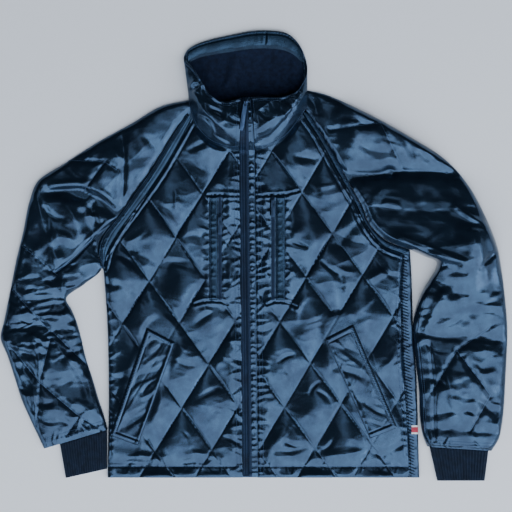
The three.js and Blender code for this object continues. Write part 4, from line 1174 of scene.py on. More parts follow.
# ---------------------------------------------------------------- sleeves, raglan bands and cuffs
@dataclass
class Sleeve:
    """One quilted raglan sleeve with its band and its knitted cuff.

    Its sections run from the collar to the cuff: outer edge xy, inner edge xy, and a fullness for each.
    """

    side: Side
    sections: list
    band: list
    cuff_shares: tuple[float, float]
    cuff_end: list
    band_cut: float
    band_tuck: float = 0.0
    fullness: tuple = (0.2, 0.5, 0.8, 1, 1, 1, 1, 1, 1, 0.9, 0.8, 0.8, 0.9, 1, 1, 0.9, 0.8, 0.6)
    per_section: int = 16
    across: int = 112
    under: int = 16
    wall: float = 8.0
    edge: float = 2.5
    crown: float = 9.0
    flatness: float = 0.6
    seam_depth: float = 2.2
    seam_half: float = 6.0
    ribs: int = 19
    courses: int = 27
    cuff_rows: int = 77
    cuff_columns: tuple[int, int] = (228, 12)
    cuff_wall: float = 8.0
    cuff_edge: float = 3.0
    band_stitching: tuple = (0.16, 0.32, 0.52, 0.68)
    end_stitching: tuple = (0.978, 0.962)
    underarm_stitching: tuple = (0.06, 0.09)
    off_sleeve: float = 2.5
    neck_overlap: float = 7.0
    last_section: float = 26.0
    forearm_slope: float = 0.27
    fades: tuple[float, float] = (25.0, 42.0)

    def __post_init__(self) -> None:
        """Works out both edges of the sleeve."""
        rows = np.array(self.sections, float)
        outward = self.side.value * SEAM_GAP / 2
        self.outer = through(rows[:, :2], self.per_section)
        self.inner = beside(through(rows[:, 2:], self.per_section), outward)
        under_collar = np.clip(1 - np.arange(len(self.outer)) / self.per_section, 0, None) ** 2
        for line in (self.outer, self.inner):
            line[:, 0] -= self.side.value * self.neck_overlap * under_collar
        self.raglan_count = (RAGLAN_ROWS - 1) * self.per_section + 1
        self.raglan = through(rows[:, 2:], 24)[: (RAGLAN_ROWS - 1) * 24 + 1]

    def height(self, x: Array, y: Array, share: Array, width: Array, row: Array) -> Array:
        """Height of the sleeve's outside: a crown between two edges, folds, seams, creases, crumples."""
        fullness = np.interp(row / self.per_section, np.arange(len(self.fullness)), self.fullness)
        crown = self.crown * fullness * (4 * share * (1 - share)) ** self.flatness
        seams = [from_line(x, y, np.reshape(s, (2, 2))) for s in SLEEVE_SEAMS]
        nearest = np.min([s[0] for s in seams], axis=0)
        along = np.choose(np.argmin([s[0] for s in seams], axis=0), [s[1] for s in seams])
        seam = self.seam_depth * bell(nearest, self.seam_half)
        raglan = row < self.raglan_count
        to_raglan, to_outer = share * width, (1 - share) * width
        edge = np.minimum(np.where(raglan, EDGE_RADIUS, to_raglan), to_outer)
        fine = self.crumples(x, y)
        fine = fine + 0.9 * puckers(nearest, along, 12, 13, 55) - 1.1 * bell(nearest, 1.5)
        end_off = (len(self.outer) - 1 - row) / self.per_section * self.last_section
        fine += 1.8 * puckers(end_off - 6, to_raglan, 22, 10, 57)
        fine += np.where(raglan, 1.3 * puckers(to_raglan, row * 3.0, 18, 13, 59), 0)
        fine += 1.0 * puckers(to_outer, row * 1.9, 16, 15, 63)
        full = self.wall + crown + creases(x, y, FOLDS, False) + self.slants(x, y) - seam
        full = full + creases(x, y, CREASES) + fine
        underarm = from_line(x, y, np.array(UNDERARM_SEAM))[0]
        full = full - 1.6 * bell(underarm, 2.0) + 1.4 * bell(underarm - 6, 3.5)
        pinch = np.where(raglan, mix(0.75, 1.0, smooth(to_raglan / 12)), 1.0)
        full = full * pinch * mix(0.8, 1.0, smooth(end_off / 9))
        return self.edge + np.maximum(self.wall / 2, full - self.edge) * rounded(edge)

    def crumples(self, x: Array, y: Array) -> Array:
        """Small creases and crumples of the sleeve, with more of them across it at its elbow."""
        sign = self.side.value
        elbow = bell(y + 95, 75) + 0.25
        rng = np.random.default_rng(70 + sign)
        spots = rng.uniform([300, -350], [460, 10], (64, 2)) * [sign, 1]
        fine = creases(x, y, scattered(rng, spots, (18, 60), (-2.6, 2.2), (4 * sign, 26)))
        wrung = rng.uniform([330, -190], [450, -20], (46, 2)) * [sign, 1]
        fine += creases(x, y, scattered(rng, wrung, (20, 58), (-1.7, 1.7), (6, 14), (0.06, 0.1)))
        fine += 0.7 * elbow * crumple(x, y, 12, 51, -6 * sign, 3.8)
        fine = fine + 2.3 * noise(x, y, 38, 52) + 0.7 * noise(x, y, 19, 56)
        fine += 0.4 * crumple(x, y, 24, 54, 30, 1.6)
        return fine + 0.15 * crumple(x, y, 11, 53, -20, 2.0)

    def slants(self, x: Array, y: Array) -> Array:
        """Slopes of the left sleeve: full above the elbow, and a share of that on the forearm.

        Their ends fade over a longer way from the elbow down.
        """
        settled = smooth((y + 0.3 * (x - 380) + 130) / 140)
        fade = mix(*self.fades, smooth((90 - y) / 80))
        slopes = planes(x, y, PLANES, fade) * mix(self.forearm_slope, 1.0, settled)
        return slopes + planes(x, y, ELBOW_PLANES)

    def make_sleeve(self, finishes: Finishes) -> bpy.types.Object:
        """Returns the sleeve: a flattened tube, its top raised and its underside flat, open at both ends."""
        k = np.linspace(0, 1, self.across + 1)
        share = mix(k, (1 - np.cos(math.pi * k)) / 2, 0.35)[None]
        row = np.arange(len(self.outer))[:, None] + 0 * share
        plan = mix(self.inner[:, None], self.outer[:, None], share[..., None])
        width = np.linalg.norm(self.outer - self.inner, axis=1)[:, None]
        x, y = plan[..., 0], plan[..., 1]
        top = np.dstack([x, y, self.height(x, y, share + 0 * row, width, row)])
        self.surface = Surface(top)
        back = np.linspace(1, 0, self.under + 1)[1:-1]
        below = mix(self.inner[:, None], self.outer[:, None], back[None, :, None])
        rim = rounded(np.minimum(back, 1 - back)[None] * width, 6.0)
        bottom = np.dstack([below, self.edge * (1 - rim)])
        outer = np.concatenate([top, bottom], axis=1)[: len(outer_rows(len(top)))]
        inner = narrowed(outer, mix(self.inner, self.outer, 0.5)[: len(outer), None], width[: len(outer)])
        upper = np.arange(inner.shape[1]) * STRIDE <= self.across
        inner[..., 2] = np.where(upper[None], np.minimum(6.6, inner[..., 2] - 1), 5.0)
        inner[:, 0, 2] = inner[:, self.across // STRIDE, 2] = 5.0
        uv = Surface(outer).cloth_uv()
        solid = shell(outer, inner, ring=True, uv=uv)
        piece = make_piece(f"quilted_sleeve_{self.side.word}", solid, finishes.taffeta)
        return fit(piece, [f"sleeve_{self.side.word}"])

    def band_surface(self) -> Surface:
        """Returns the raglan band: a low arch over the seam, between the sleeve and the front."""
        inward = -self.side.value * SEAM_GAP / 2
        outer = beside(through(np.array(self.sections)[:, 2:], 32)[: (RAGLAN_ROWS - 1) * 32 + 1], inward)
        inner = beside(through(self.band, 32), -inward)
        share = np.linspace(0, 1, 25)[None]
        tucked = np.clip(1 - lengths(outer) / 14, 0, 1)[:, None] * self.band_tuck
        onward = (outer[0] - outer[8]) / np.linalg.norm(outer[0] - outer[8])
        plan = mix((outer + tucked * onward)[:, None], (inner + tucked * onward)[:, None], share[..., None])
        along = lengths(outer)[:, None] + 0 * share
        width = np.linalg.norm(outer - inner, axis=1)[:, None]
        across = share * width
        groove = sum(bell(across - at * width, 1.5) for at in (0.24, 0.6))
        gather = puckers(across - 0.4 * width, along, 14, 12, 81)
        height = 3.0 * np.sin(math.pi * share) ** 0.8 + 0.7 * gather - 0.8 * groove
        height -= 1.6 * (bell(across, 1.6) + bell(width - across, 1.6))
        return Surface(np.dstack([plan, FRONT_INSIDE + STITCHED_WALL + height]))

    def make_band(self, finishes: Finishes) -> bpy.types.Object:
        """Returns the raglan band as a closed strip."""
        surface = self.band_surface()
        piece = walled(f"raglan_band_cloth_{self.side.word}", surface, FRONT_INSIDE, finishes.binding)
        return fit(piece, [f"raglan_band_{self.side.word}"])

    def make_cuff(self, finishes: Finishes) -> bpy.types.Object:
        """Returns the cuff: a flattened knitted tube, waved across by its wales and along by its courses."""
        ox, oy, ix, iy = self.sections[-1]
        ends = np.array([[mix(ix, ox, s), mix(iy, oy, s) - 1.5 * SEAM_GAP] for s in self.cuff_shares])
        free = np.array(self.cuff_end, float)
        t = np.linspace(0, 1, self.cuff_rows)[:, None]
        upper, lower = self.cuff_columns
        share = np.linspace(0, 1, upper + 1)[None]
        plan = mix(mix(*ends, share[..., None]), mix(*free, share[..., None]), t[..., None])
        width = np.linalg.norm(mix(ends[1] - ends[0], free[1] - free[0], t), axis=1)[:, None]
        edge = rounded(np.minimum(share, 1 - share) * width)
        wales = np.cos(2 * math.pi * self.ribs * share)
        courses = 0.22 * np.cos(2 * math.pi * (t * self.courses + 0.5 * np.abs(wales)))
        bulge = np.sin(math.pi * np.clip(t * 1.1, 0, 1))
        bulge = bulge + 0.8 * crumple(plan[..., 0], plan[..., 1], 26, 91, 80, 2)
        full = self.cuff_wall - 0.8 * t + 0.75 * wales + courses + 0.6 * bulge
        lip = mix(0.72, 1.0, rounded(np.minimum(t, 1 - t) * 60, 4.0))
        top = np.dstack([plan, self.cuff_edge + (full - self.cuff_edge) * edge * lip])
        back = np.linspace(1, 0, lower + 1)[1:-1]
        below = mix(mix(*ends, back[None, :, None]), mix(*free, back[None, :, None]), t[..., None])
        rim = rounded(np.minimum(back, 1 - back)[None] * width, 6.0)
        outer = np.concatenate([top, np.dstack([below, self.cuff_edge * (1 - rim)])], axis=1)
        outer = outer[:, : outer.shape[1] // STRIDE * STRIDE]
        inner = narrowed(outer, outer.mean(axis=1, keepdims=True)[..., :2], width)
        above = np.arange(inner.shape[1])[None] * STRIDE <= upper
        inner[..., 2] = np.where(above, 1.5 * self.cuff_edge, self.cuff_edge)
        inner[:, 0, 2] = self.cuff_edge
        uv = Surface(outer).cloth_uv()
        piece = make_piece(f"knitted_cuff_{self.side.word}", shell(outer, inner, True, uv), finishes.rib)
        return fit(piece, [f"cuff_{self.side.word}"])

    def sew(self, sewing: Sewing) -> None:
        """Lays the stitches of the band, the cuff seam, the underarm seam and the quilting seams."""
        t = np.linspace(0.01, 0.99, 300)
        band = self.band_surface()
        for at in self.band_stitching:
            sewing.add(band.sample(t, np.full(300, at)), 3.6)
        for back in self.end_stitching:
            sewing.add(self.surface.sample(np.full(300, back), t), 3.6)
        if self.side is Side.LEFT:
            for at in self.underarm_stitching:
                sewing.add(self.surface.sample(np.linspace(0.7, 0.95, 200), np.full(200, at)), 4.0)
        for x0, y0, x1, y1 in SLEEVE_SEAMS:
            if np.sign(x0) == self.side.value:
                sewing.add(self.on_top(np.linspace([x0, y0], [x1, y1], 60)))
        if self.side is Side.RIGHT:
            for shift in (-1.6, 1.6):
                line = beside(spaced(np.array(UNDERARM_SEAM, float), 90), shift)
                sewing.add(self.on_top(line), 3.8)

    def on_top(self, plan: Array) -> Array:
        """Returns plan points set on the sleeve's outside at its nearest grid points, less those off it."""
        grid = self.surface.points.reshape(-1, 3)
        far = np.linalg.norm(grid[None, :, :2] - plan[:, None], axis=2)
        near = far.min(axis=1) < self.off_sleeve
        return np.column_stack([plan, grid[np.argmin(far, axis=1), 2]])[near]


def narrowed(outer: Array, middle: Array, width: Array) -> Array:
    """Returns the coarse inside of a flat tube, its plan drawn in at both edges by the tube's wall."""
    inner, middle = outer[::STRIDE, ::STRIDE].copy(), middle[::STRIDE]
    inner[..., :2] = middle + (inner[..., :2] - middle) * (1 - 2 * TUBE_WALL / width[::STRIDE, :, None])
    return inner


def outer_rows(count: int) -> range:
    """Returns the rows of a fine grid up to the last one that its coarse grid can end on."""
    return range((count - 1) // STRIDE * STRIDE + 1)


# ---------------------------------------------------------------- collar
@dataclass
class Collar:
    """The tall stand collar: shell cloth outside, a facing inside its edge and fleece below that."""

    per_row: int = 16
    levels: int = 64
    wall: float = 4.0
    skin: float = 1.5
    back: tuple[int, int] = (6, 16)
    facing_from: float = 0.75
    fleece_to: float = 0.735

    def base(self) -> Array:
        """Returns the collar's outer cloth, lifted by a roll: rounded by the zip, peaked away from it."""
        table = np.array(COLLAR_SECTIONS, float)
        seams, edges = through(table[:, :3], self.per_row), through(table[:, 3:6], self.per_row)
        roll = through(np.column_stack([table[:, 6], 0 * table[:, 6]]), self.per_row)[:, :1]
        share = np.linspace(0, 1, self.levels + 1)[None]
        points = mix(seams[:, None], edges[:, None], share[..., None])
        rows = np.arange(len(seams))[:, None] / self.per_row
        from_zip = np.minimum(rows, rows[-1] - rows)
        peak = mix(0.37, 0.52, smooth((from_zip - 0.3) / 2.4))
        off_peak = np.where(share < peak, (peak - share) / peak, (share - peak) / (1 - peak))
        tent = 1 - off_peak**1.25
        rise = mix(np.sin(math.pi * share**0.7), tent, smooth(from_zip / 0.9))
        points[..., 2] = np.maximum(0, points[..., 2] + roll * rise)
        return points

    def detail(self, points: Array) -> Array:
        """Relief of the front of the collar: creases, crumples above the roll, puckers at its seams."""
        x, y = points[..., 0], points[..., 1]
        rows = np.arange(points.shape[0])[:, None] / self.per_row
        front = smooth((6.6 - rows) / 1.6) + smooth((rows - 16.4) / 1.6)
        share = np.linspace(0, 1, points.shape[1])[None] + 0 * rows
        along = rows * 22.0 + 0 * share
        upper = smooth((share - 0.42) / 0.2)
        relief = creases(x, y, COLLAR_CREASES) + upper * (1.2 * crumple(x, y, 19, 101, 35, 1.5))
        relief = relief + (0.12 + 0.9 * upper) * crumple(x, y, 11, 102, -30, 1.9) + 0.5 * noise(x, y, 34, 103)
        relief += 0.5 * puckers(share * 100, along, 10, 12, 105)
        relief += 0.7 * puckers((1 - share) * 100, along, 12, 11, 107)
        relief -= 1.2 * bell((share - 0.93) * 100, 1.8)
        return relief * front

    def make_collar(self, finishes: Finishes) -> bpy.types.Object:
        """Returns the collar's shell cloth, a wall all round from the zip to the zip."""
        points = self.base()
        self.plain = Surface(points)
        inner = self.plain.moved(self.wall)
        normal = self.plain.normals()
        shaped = points - normal * self.detail(points)[..., None]
        rim = rounded(self.rim(points), 3.0)
        shaped = mix((points + inner.points) / 2, shaped, rim[..., None])
        shaped[..., 2] = np.maximum(0, shaped[..., 2])
        self.surface = Surface(shaped)
        piece = walled("collar_shell", self.surface, inner.coarse(), finishes.taffeta)
        return fit(piece, ["collar"])

    def rim(self, points: Array) -> Array:
        """Returns the distance of each grid point from the collar's free edge and its two zip edges."""
        share = np.linspace(1, 0, points.shape[1])[None] * 100
        rows = np.arange(points.shape[0])[:, None]
        ends = np.minimum(rows, rows[::-1]) * 1.6
        return np.minimum(share, ends) + 0.15

    def skin_surface(self, low: float, high: float, deeper: float) -> Surface:
        """Returns a stretch of the collar's inside, above its wall, between two shares of its height."""
        first, last = [n * self.per_row for n in self.back]
        inside_points = self.plain.moved(self.wall + SEAM_GAP + deeper).points[first : last + 1]
        start, end = [round(s * self.levels) for s in (low, high)]
        return Surface(inside_points[:, start : end + 1])

    def make_facing(self, finishes: Finishes) -> bpy.types.Object:
        """Returns the facing: doubled shell cloth inside the free edge, rippled over its stitching."""
        under, over = [self.skin_surface(self.facing_from, 1.0, deeper) for deeper in (0.0, self.skin)]
        p = over.points
        share = np.linspace(0, 1, p.shape[1])[None]
        along = lengths(p[:, -1])[:, None] + 0 * share
        relief = 0.3 * crumple(along, share * 25, 22, 113, 80, 1.5)
        ladder = 0.8 * np.cos(2 * math.pi * (along + 5 * share) / 6.0) * smooth((share - 0.8) / 0.08)
        relief = relief + ladder - 0.9 * bell((share - 0.8) * 25, 1.3) + 1.2 * np.sin(math.pi * share)
        centre = np.abs(along - 0.585 * along.max())
        relief = relief - 1.3 * bell(centre, 1.6) + 0.9 * bell(centre - 4, 3)
        edge = rounded(np.minimum(share, 1 - share) * 25, 3)
        self.facing = Surface(p + over.normals() * (relief * edge)[..., None])
        piece = walled("collar_facing_cloth", self.facing, under.coarse(), finishes.binding)
        return fit(piece, ["collar_facing"])

    def make_lining(self, finishes: Finishes) -> bpy.types.Object:
        """Returns the fleece: softly folded at its sides, and carried on down inside the neck."""
        low, high = [self.skin_surface(0, self.fleece_to, deeper) for deeper in (0.0, self.skin)]
        x, y = high.points[..., 0], high.points[..., 1]
        share = np.linspace(0, 1, x.shape[1])[None] + 0 * x
        fold = creases(x, y, [[-36, 360, -64, 292, 6, 5, 7], [-30, 372, 34, 378, 4, 2.4, 8],
                              [40, 352, 66, 300, -5, 3, 8], [-20, 330, 30, 326, 3, -2, 9],
                              [-92, 350, -80, 312, 3, 3, 7], [74, 356, 84, 318, -3, 3, 7]])
        fold = fold + 0.5 * noise(x, y, 22, 115) + 0.12 * noise(x, y, 5, 116)
        edge = rounded(np.minimum(share, 1 - share) * 70, 4)
        over = high.points + np.dstack([0 * x, 0 * x, np.maximum(fold, -0.8) * edge])
        count = len(outer_rows(over.shape[1]))
        under = low.points[::STRIDE, :count:STRIDE]
        piece = walled("collar_fleece", Surface(over[:, :count]), under, finishes.fleece)
        width = np.linspace(-98, 88, 61)[None]
        down = np.linspace(309, 262, 33)[:, None]
        neck_z = BACK_WALL + 1.8 + 0.6 * noise(width + 0 * down, down + 0 * width, 20, 117)
        top = Surface(np.dstack([width + 0 * down, down + 0 * width, neck_z]))
        neck = walled("neck_fleece", top, BACK_WALL + 0.15, finishes.fleece)
        fit(neck, [])
        return fit(piece, ["collar_lining"])

    def sew(self, sewing: Sewing) -> None:
        """Lays the stitches of the neck seam, the free edge, the zip edges and the facing."""
        t = np.linspace(0.0, 0.27, 260)
        for start in (0.01, 0.72):
            for share in (0.05, 0.92, 0.955):
                sewing.add(self.surface.sample(t + start, np.full(260, share)), 3.8)
        sewing.zigzag(self.facing, (0.01, 0.99), (0.83, 0.97), 110)
        s = np.linspace(0.04, 0.95, 120)
        for row in (0.012, 0.986):
            sewing.add(self.surface.sample(np.full(120, row), s))


# ---------------------------------------------------------------- centre front zip
@dataclass
class Zip:
    """The centre front zip: two tapes, moulded teeth and the end stop."""

    tape: float = 1.6
    tooth_pitch: float = 2.9
    collar_top_x: float = -13.5
    collar_height: float = 96.0
    steps: int = 441
    tooth: tuple[float, float, float] = (2.0, 1.05, 1.15)
    tooth_aside: float = 0.9
    tooth_lift: float = 1.5
    stop: tuple[float, float, float] = (3.2, 4.4, 1.6)

    def profile(self) -> Array:
        """Returns the zip's side view as y and z: along the body, then up the collar's first section."""
        on_body = np.linspace(HEM_Y + 2, NECK_Y - 6, 60)
        body = np.column_stack([on_body, np.full(60, FRONT_INSIDE + self.tape)])
        _, sy, sz, _, ey, ez, roll = COLLAR_SECTIONS[0]
        share = np.linspace(0, 1, 33)
        rise = roll * np.sin(math.pi * share**0.7)
        collar = np.column_stack([mix(sy, ey, share), mix(sz, ez, share) + rise])
        return spaced(np.vstack([body, collar]), self.steps)

    def chain_x(self, body: Body, y: Array) -> Array:
        """Returns the x of the row of teeth."""
        top = mix(body.zip_x(np.array(NECK_Y)), self.collar_top_x, (y - NECK_Y) / self.collar_height)
        return np.where(y < NECK_Y, body.zip_x(y), top)

    def tape_edge(self, body: Body, y: Array, side: Side) -> Array:
        """Returns the x where a tape meets its front or the collar."""
        first = COLLAR_SECTIONS[0] if side is Side.RIGHT else COLLAR_SECTIONS[-1]
        collar = mix(first[0], first[3], np.clip((y - NECK_Y) / (first[4] - NECK_Y), 0, 1))
        met = np.where(y < NECK_Y, body.zip_x(y) + side.value * body.half_tape, collar)
        return met - side.value * SEAM_GAP

    def make_tape(self, body: Body, side: Side, finishes: Finishes, sewing: Sewing) -> bpy.types.Object:
        """Returns one tape, a thin strip with small waves, and lays its stitches."""
        line = self.profile()
        y, z = line[:, 0], line[:, 1]
        near = self.chain_x(body, y) + side.value * SEAM_GAP
        share = np.linspace(0, 1, 17)[None]
        x = mix(near[:, None], self.tape_edge(body, y, side)[:, None], share)
        along = lengths(line)[:, None]
        gathered = 2.0 if side is Side.LEFT else 0.25
        wave = gathered * puckers(share * 14 - 7, along + 0 * share, 9, 10, 121 + side.value)
        surface = Surface(np.dstack([x, y[:, None] + 0 * x, z[:, None] + wave * rounded(share * 14, 4)]))
        facing_up = surface.normals()[..., 2:].mean() > 0
        under = surface.moved(-self.tape if facing_up else self.tape)
        for at in (0.45, 0.8) if side is Side.RIGHT else (0.9,):
            sewing.add(surface.sample(np.linspace(0.005, 0.995, 900), np.full(900, at)), 3.4)
        cloth = finishes.taffeta if side is Side.LEFT else finishes.tape
        piece = walled(f"zip_tape_cloth_{side.word}", surface, under.coarse(), cloth)
        return fit(piece, [f"zip_tape_{side.word}"])

    def make_teeth(self, body: Body, finishes: Finishes) -> bpy.types.Object:
        """Returns the teeth, left and right by turns, with the end stop at the hem."""
        line = self.profile()
        at = lengths(line)
        middles = np.arange(6, at[-1] - 1, self.tooth_pitch / 2)
        y, z = np.interp(middles, at, line[:, 0]), np.interp(middles, at, line[:, 1])
        x = self.chain_x(body, y) + np.where(np.arange(len(y)) % 2, self.tooth_aside, -self.tooth_aside)
        slope = np.arctan2(np.gradient(z), np.gradient(y))
        flat, up = np.cos(slope), np.sin(slope)
        none = np.zeros_like(flat)
        frames = np.stack([np.stack([none + 1, none, none], 1), np.stack([none, flat, up], 1),
                           np.stack([none, -up, flat], 1)], axis=1)
        places = np.column_stack([x, y - up * self.tooth_lift, z + flat * self.tooth_lift])
        teeth = repeated(rounded_box(self.tooth, 0.35), places, frames)
        stop_y = HEM_Y + 6
        stop = rounded_box(self.stop, 0.7)
        stop.points += [float(self.chain_x(body, np.array(stop_y))), stop_y, FRONT_INSIDE + self.tape + 1.7]
        piece = make_piece("zip_teeth", joined([teeth, stop]), finishes.acetal)
        return fit(piece, ["zip_chain"])


def squared(wave: Array, power: float = 0.6) -> Array:
    """Returns a sine or cosine pushed towards its extremes, which squares off a circle."""
    return np.sign(wave) * np.abs(wave) ** power


def rounded_box(half: tuple[float, float, float], bevel: float) -> Solid:
    """A box with its edges cut back: three pairs of faces joined by bevels and corner triangles.

    Args:
        half: half its size each way.
        bevel: how far its edges are cut back.

    Returns:
        A solid of 24 points round the origin.
    """
    hx, hy, hz = half
    corners = [(a, b, c) for a in (-1, 1) for b in (-1, 1) for c in (-1, 1)]
    points = []
    for a, b, c in corners:
        points += [[a * hx, b * (hy - bevel), c * (hz - bevel)], [a * (hx - bevel), b * hy, c * (hz - bevel)],
                   [a * (hx - bevel), b * (hy - bevel), c * hz]]
    index = {corner: 3 * k for k, corner in enumerate(corners)}
    quads, triangles = [], []

    def oriented(face: list[int]) -> list[int]:
        """Turns a face so that it points away from the origin."""
        p = np.array([points[i] for i in face])
        normal = np.cross(p[1] - p[0], p[2] - p[0])
        return face if normal @ p.mean(axis=0) > 0 else face[::-1]

    for axis in range(3):
        others = [n for n in range(3) if n != axis]
        for sign in (-1, 1):
            loop = []
            for p, q in ((-1, -1), (1, -1), (1, 1), (-1, 1)):
                corner = [0, 0, 0]
                corner[axis], corner[others[0]], corner[others[1]] = sign, p, q
                loop.append(index[tuple(corner)] + axis)
            quads.append(oriented(loop))
        for p in (-1, 1):
            for q in (-1, 1):
                ends = []
                for sign in (-1, 1):
                    corner = [0, 0, 0]
                    corner[axis], corner[others[0]], corner[others[1]] = sign, p, q
                    ends.append(index[tuple(corner)])
                quads.append(oriented([ends[0] + others[0], ends[1] + others[0],
                                       ends[1] + others[1], ends[0] + others[1]]))
    for corner in corners:
        triangles.append(oriented([index[corner], index[corner] + 1, index[corner] + 2]))
    return Solid(np.array(points, float), [np.array(quads), np.array(triangles)])


# ---------------------------------------------------------------- sliders and pull tabs
@dataclass
class Puller:
    """A slider over a row of teeth and the tab that swings on its bridge."""

    name: str
    slider_node: str
    tab_node: str
    body: str
    pivot: tuple[float, float, float]
    length: float
    skew: float
    tilt: float
    lacquered: bool = True
    pivot_height: float = 3.0
    plate: tuple[float, float] = (14.0, 8.6)

    def placed(self, solid: Solid, tilt: float, lift: float) -> Solid:
        """Returns a solid turned by a tilt and the skew, and moved to the slider's place."""
        turn = Matrix.Rotation(math.radians(self.skew), 3, "Z") @ Matrix.Rotation(math.radians(tilt), 3, "X")
        points = solid.points @ np.array(turn).T + np.array(self.pivot) + [0, 0, lift]
        return Solid(points, solid.faces)

    def make_slider(self, finishes: Finishes) -> bpy.types.Object:
        """Returns the slider: two plates, drawn in at the waist, and an arched bridge."""
        plates = [self.ring_plate(*self.plate, *rest) for rest in ((1.2, 0.9), (0.7, -1.2))]
        angle = np.linspace(0, math.pi, 17)
        path = np.column_stack([0 * angle, -5.0 * np.cos(angle), 1.5 + 3.9 * np.sin(angle) ** 0.6])
        bridge = self.bar(path, 1.1, 0.55)
        solid = joined([*plates, bridge])
        solid = self.placed(solid, 0.0, -self.pivot_height)
        piece = make_piece(self.name + "_slider", solid, finishes.gunmetal)
        return fit(piece, [self.slider_node])

    def ring_plate(self, length: float, width: float, thickness: float, level: float) -> Solid:
        """A waisted plate: rings of a rounded outline, each a little smaller, from rim to middle.

        The outline is a superellipse whose width narrows by about a sixth at the waist.
        """
        angle = np.linspace(0, 2 * math.pi, 48, endpoint=False)
        c, s = np.cos(angle), np.sin(angle)
        x, y = squared(c) * width / 2, squared(s) * length / 2
        x = x * (0.84 + 0.16 * np.abs(y / (length / 2)) ** 1.5)
        rings = []
        for scale, height in ((0.02, 0.0), (0.86, 0.0), (1.0, 0.35), (1.0, 0.75), (0.86, 1.0), (0.02, 1.0)):
            z = np.full_like(x, level - thickness / 2 + height * thickness)
            rings.append(np.column_stack([x * scale, y * scale, z]))
        return lofted(np.array(rings))

    def bar(self, path: Array, half_width: float, half_height: float) -> Solid:
        """A bar of rounded section carried along a path in the plane of Y and Z."""
        angle = np.linspace(0, 2 * math.pi, 12, endpoint=False)
        side, rise = squared(np.cos(angle)) * half_width, squared(np.sin(angle)) * half_height
        along = np.gradient(path, axis=0)
        along /= np.linalg.norm(along, axis=1, keepdims=True)
        up = np.cross(np.tile([1.0, 0, 0], (len(path), 1)), along)
        rings = path[:, None] + side[None, :, None] * np.array([1.0, 0, 0])
        return lofted(rings + rise[None, :, None] * up[:, None])

    def make_tab(self, finishes: Finishes) -> bpy.types.Object:
        """Returns the tab: a rounded blade with a slot by the bridge, a cross bar and a raised grip."""
        angle = np.linspace(0, 2 * math.pi, 64, endpoint=False)
        c, s = np.cos(angle), np.sin(angle)
        middle = -self.length / 2 + 0.6
        x, y = squared(c, 0.45) * 4.0, squared(s, 0.45) * (self.length / 2 + 0.1)
        x = x * mix(0.86, 1.0, smooth((-y + self.length / 2) / self.length * 1.6))
        hole_x, hole_y = c * 2.1, s * 3.6 + (self.length / 2 - 5.2)
        rings = []
        for share, height in ((0.0, -0.6), (0.05, -0.75), (0.92, -0.75), (1.0, -0.5),
                              (1.0, 0.5), (0.92, 0.75), (0.05, 0.75), (0.0, 0.6)):
            plan = [mix(hole_x, x, share), mix(hole_y, y, share) + middle]
            rings.append(np.column_stack([*plan, 0 * x + height]))
        blade = lofted(np.array(rings), closed=True)
        t = np.linspace(-1, 1, 9)
        bar = rounded_box((3.6, 0.8, 0.8), 0.3)
        on_blade = middle - self.length * 0.18 + t * self.length * 0.22
        grip = self.bar(np.column_stack([0 * t, on_blade, 0.75 + 0 * t]), 2.2, 0.35)
        solid = joined([blade, bar, grip])
        metal = finishes.gunmetal if self.lacquered else finishes.nickel
        piece = make_piece(self.name + "_pull", self.placed(solid, self.tilt, 0.0), metal)
        return fit(piece, [self.tab_node], self.body)


def lofted(rings: Array, closed: bool = False) -> Solid:
    """A closed skin through rings of points.

    Args:
        rings: (rings, points, 3), each ring closed on itself.
        closed: whether the last ring joins the first, or both ends are capped.

    Returns:
        The solid, its faces out.
    """
    count, size = rings.shape[:2]
    i, j = np.meshgrid(np.arange(count if closed else count - 1), np.arange(size), indexing="ij")
    i, j, up, on = i.ravel(), j.ravel(), (i.ravel() + 1) % count, (j.ravel() + 1) % size
    faces = [np.stack([i * size + j, i * size + on, up * size + on, up * size + j], axis=1)]
    if not closed:
        faces += [np.arange(size)[None, ::-1], (count - 1) * size + np.arange(size)[None]]
    return Solid(rings.reshape(-1, 3), faces).outward()


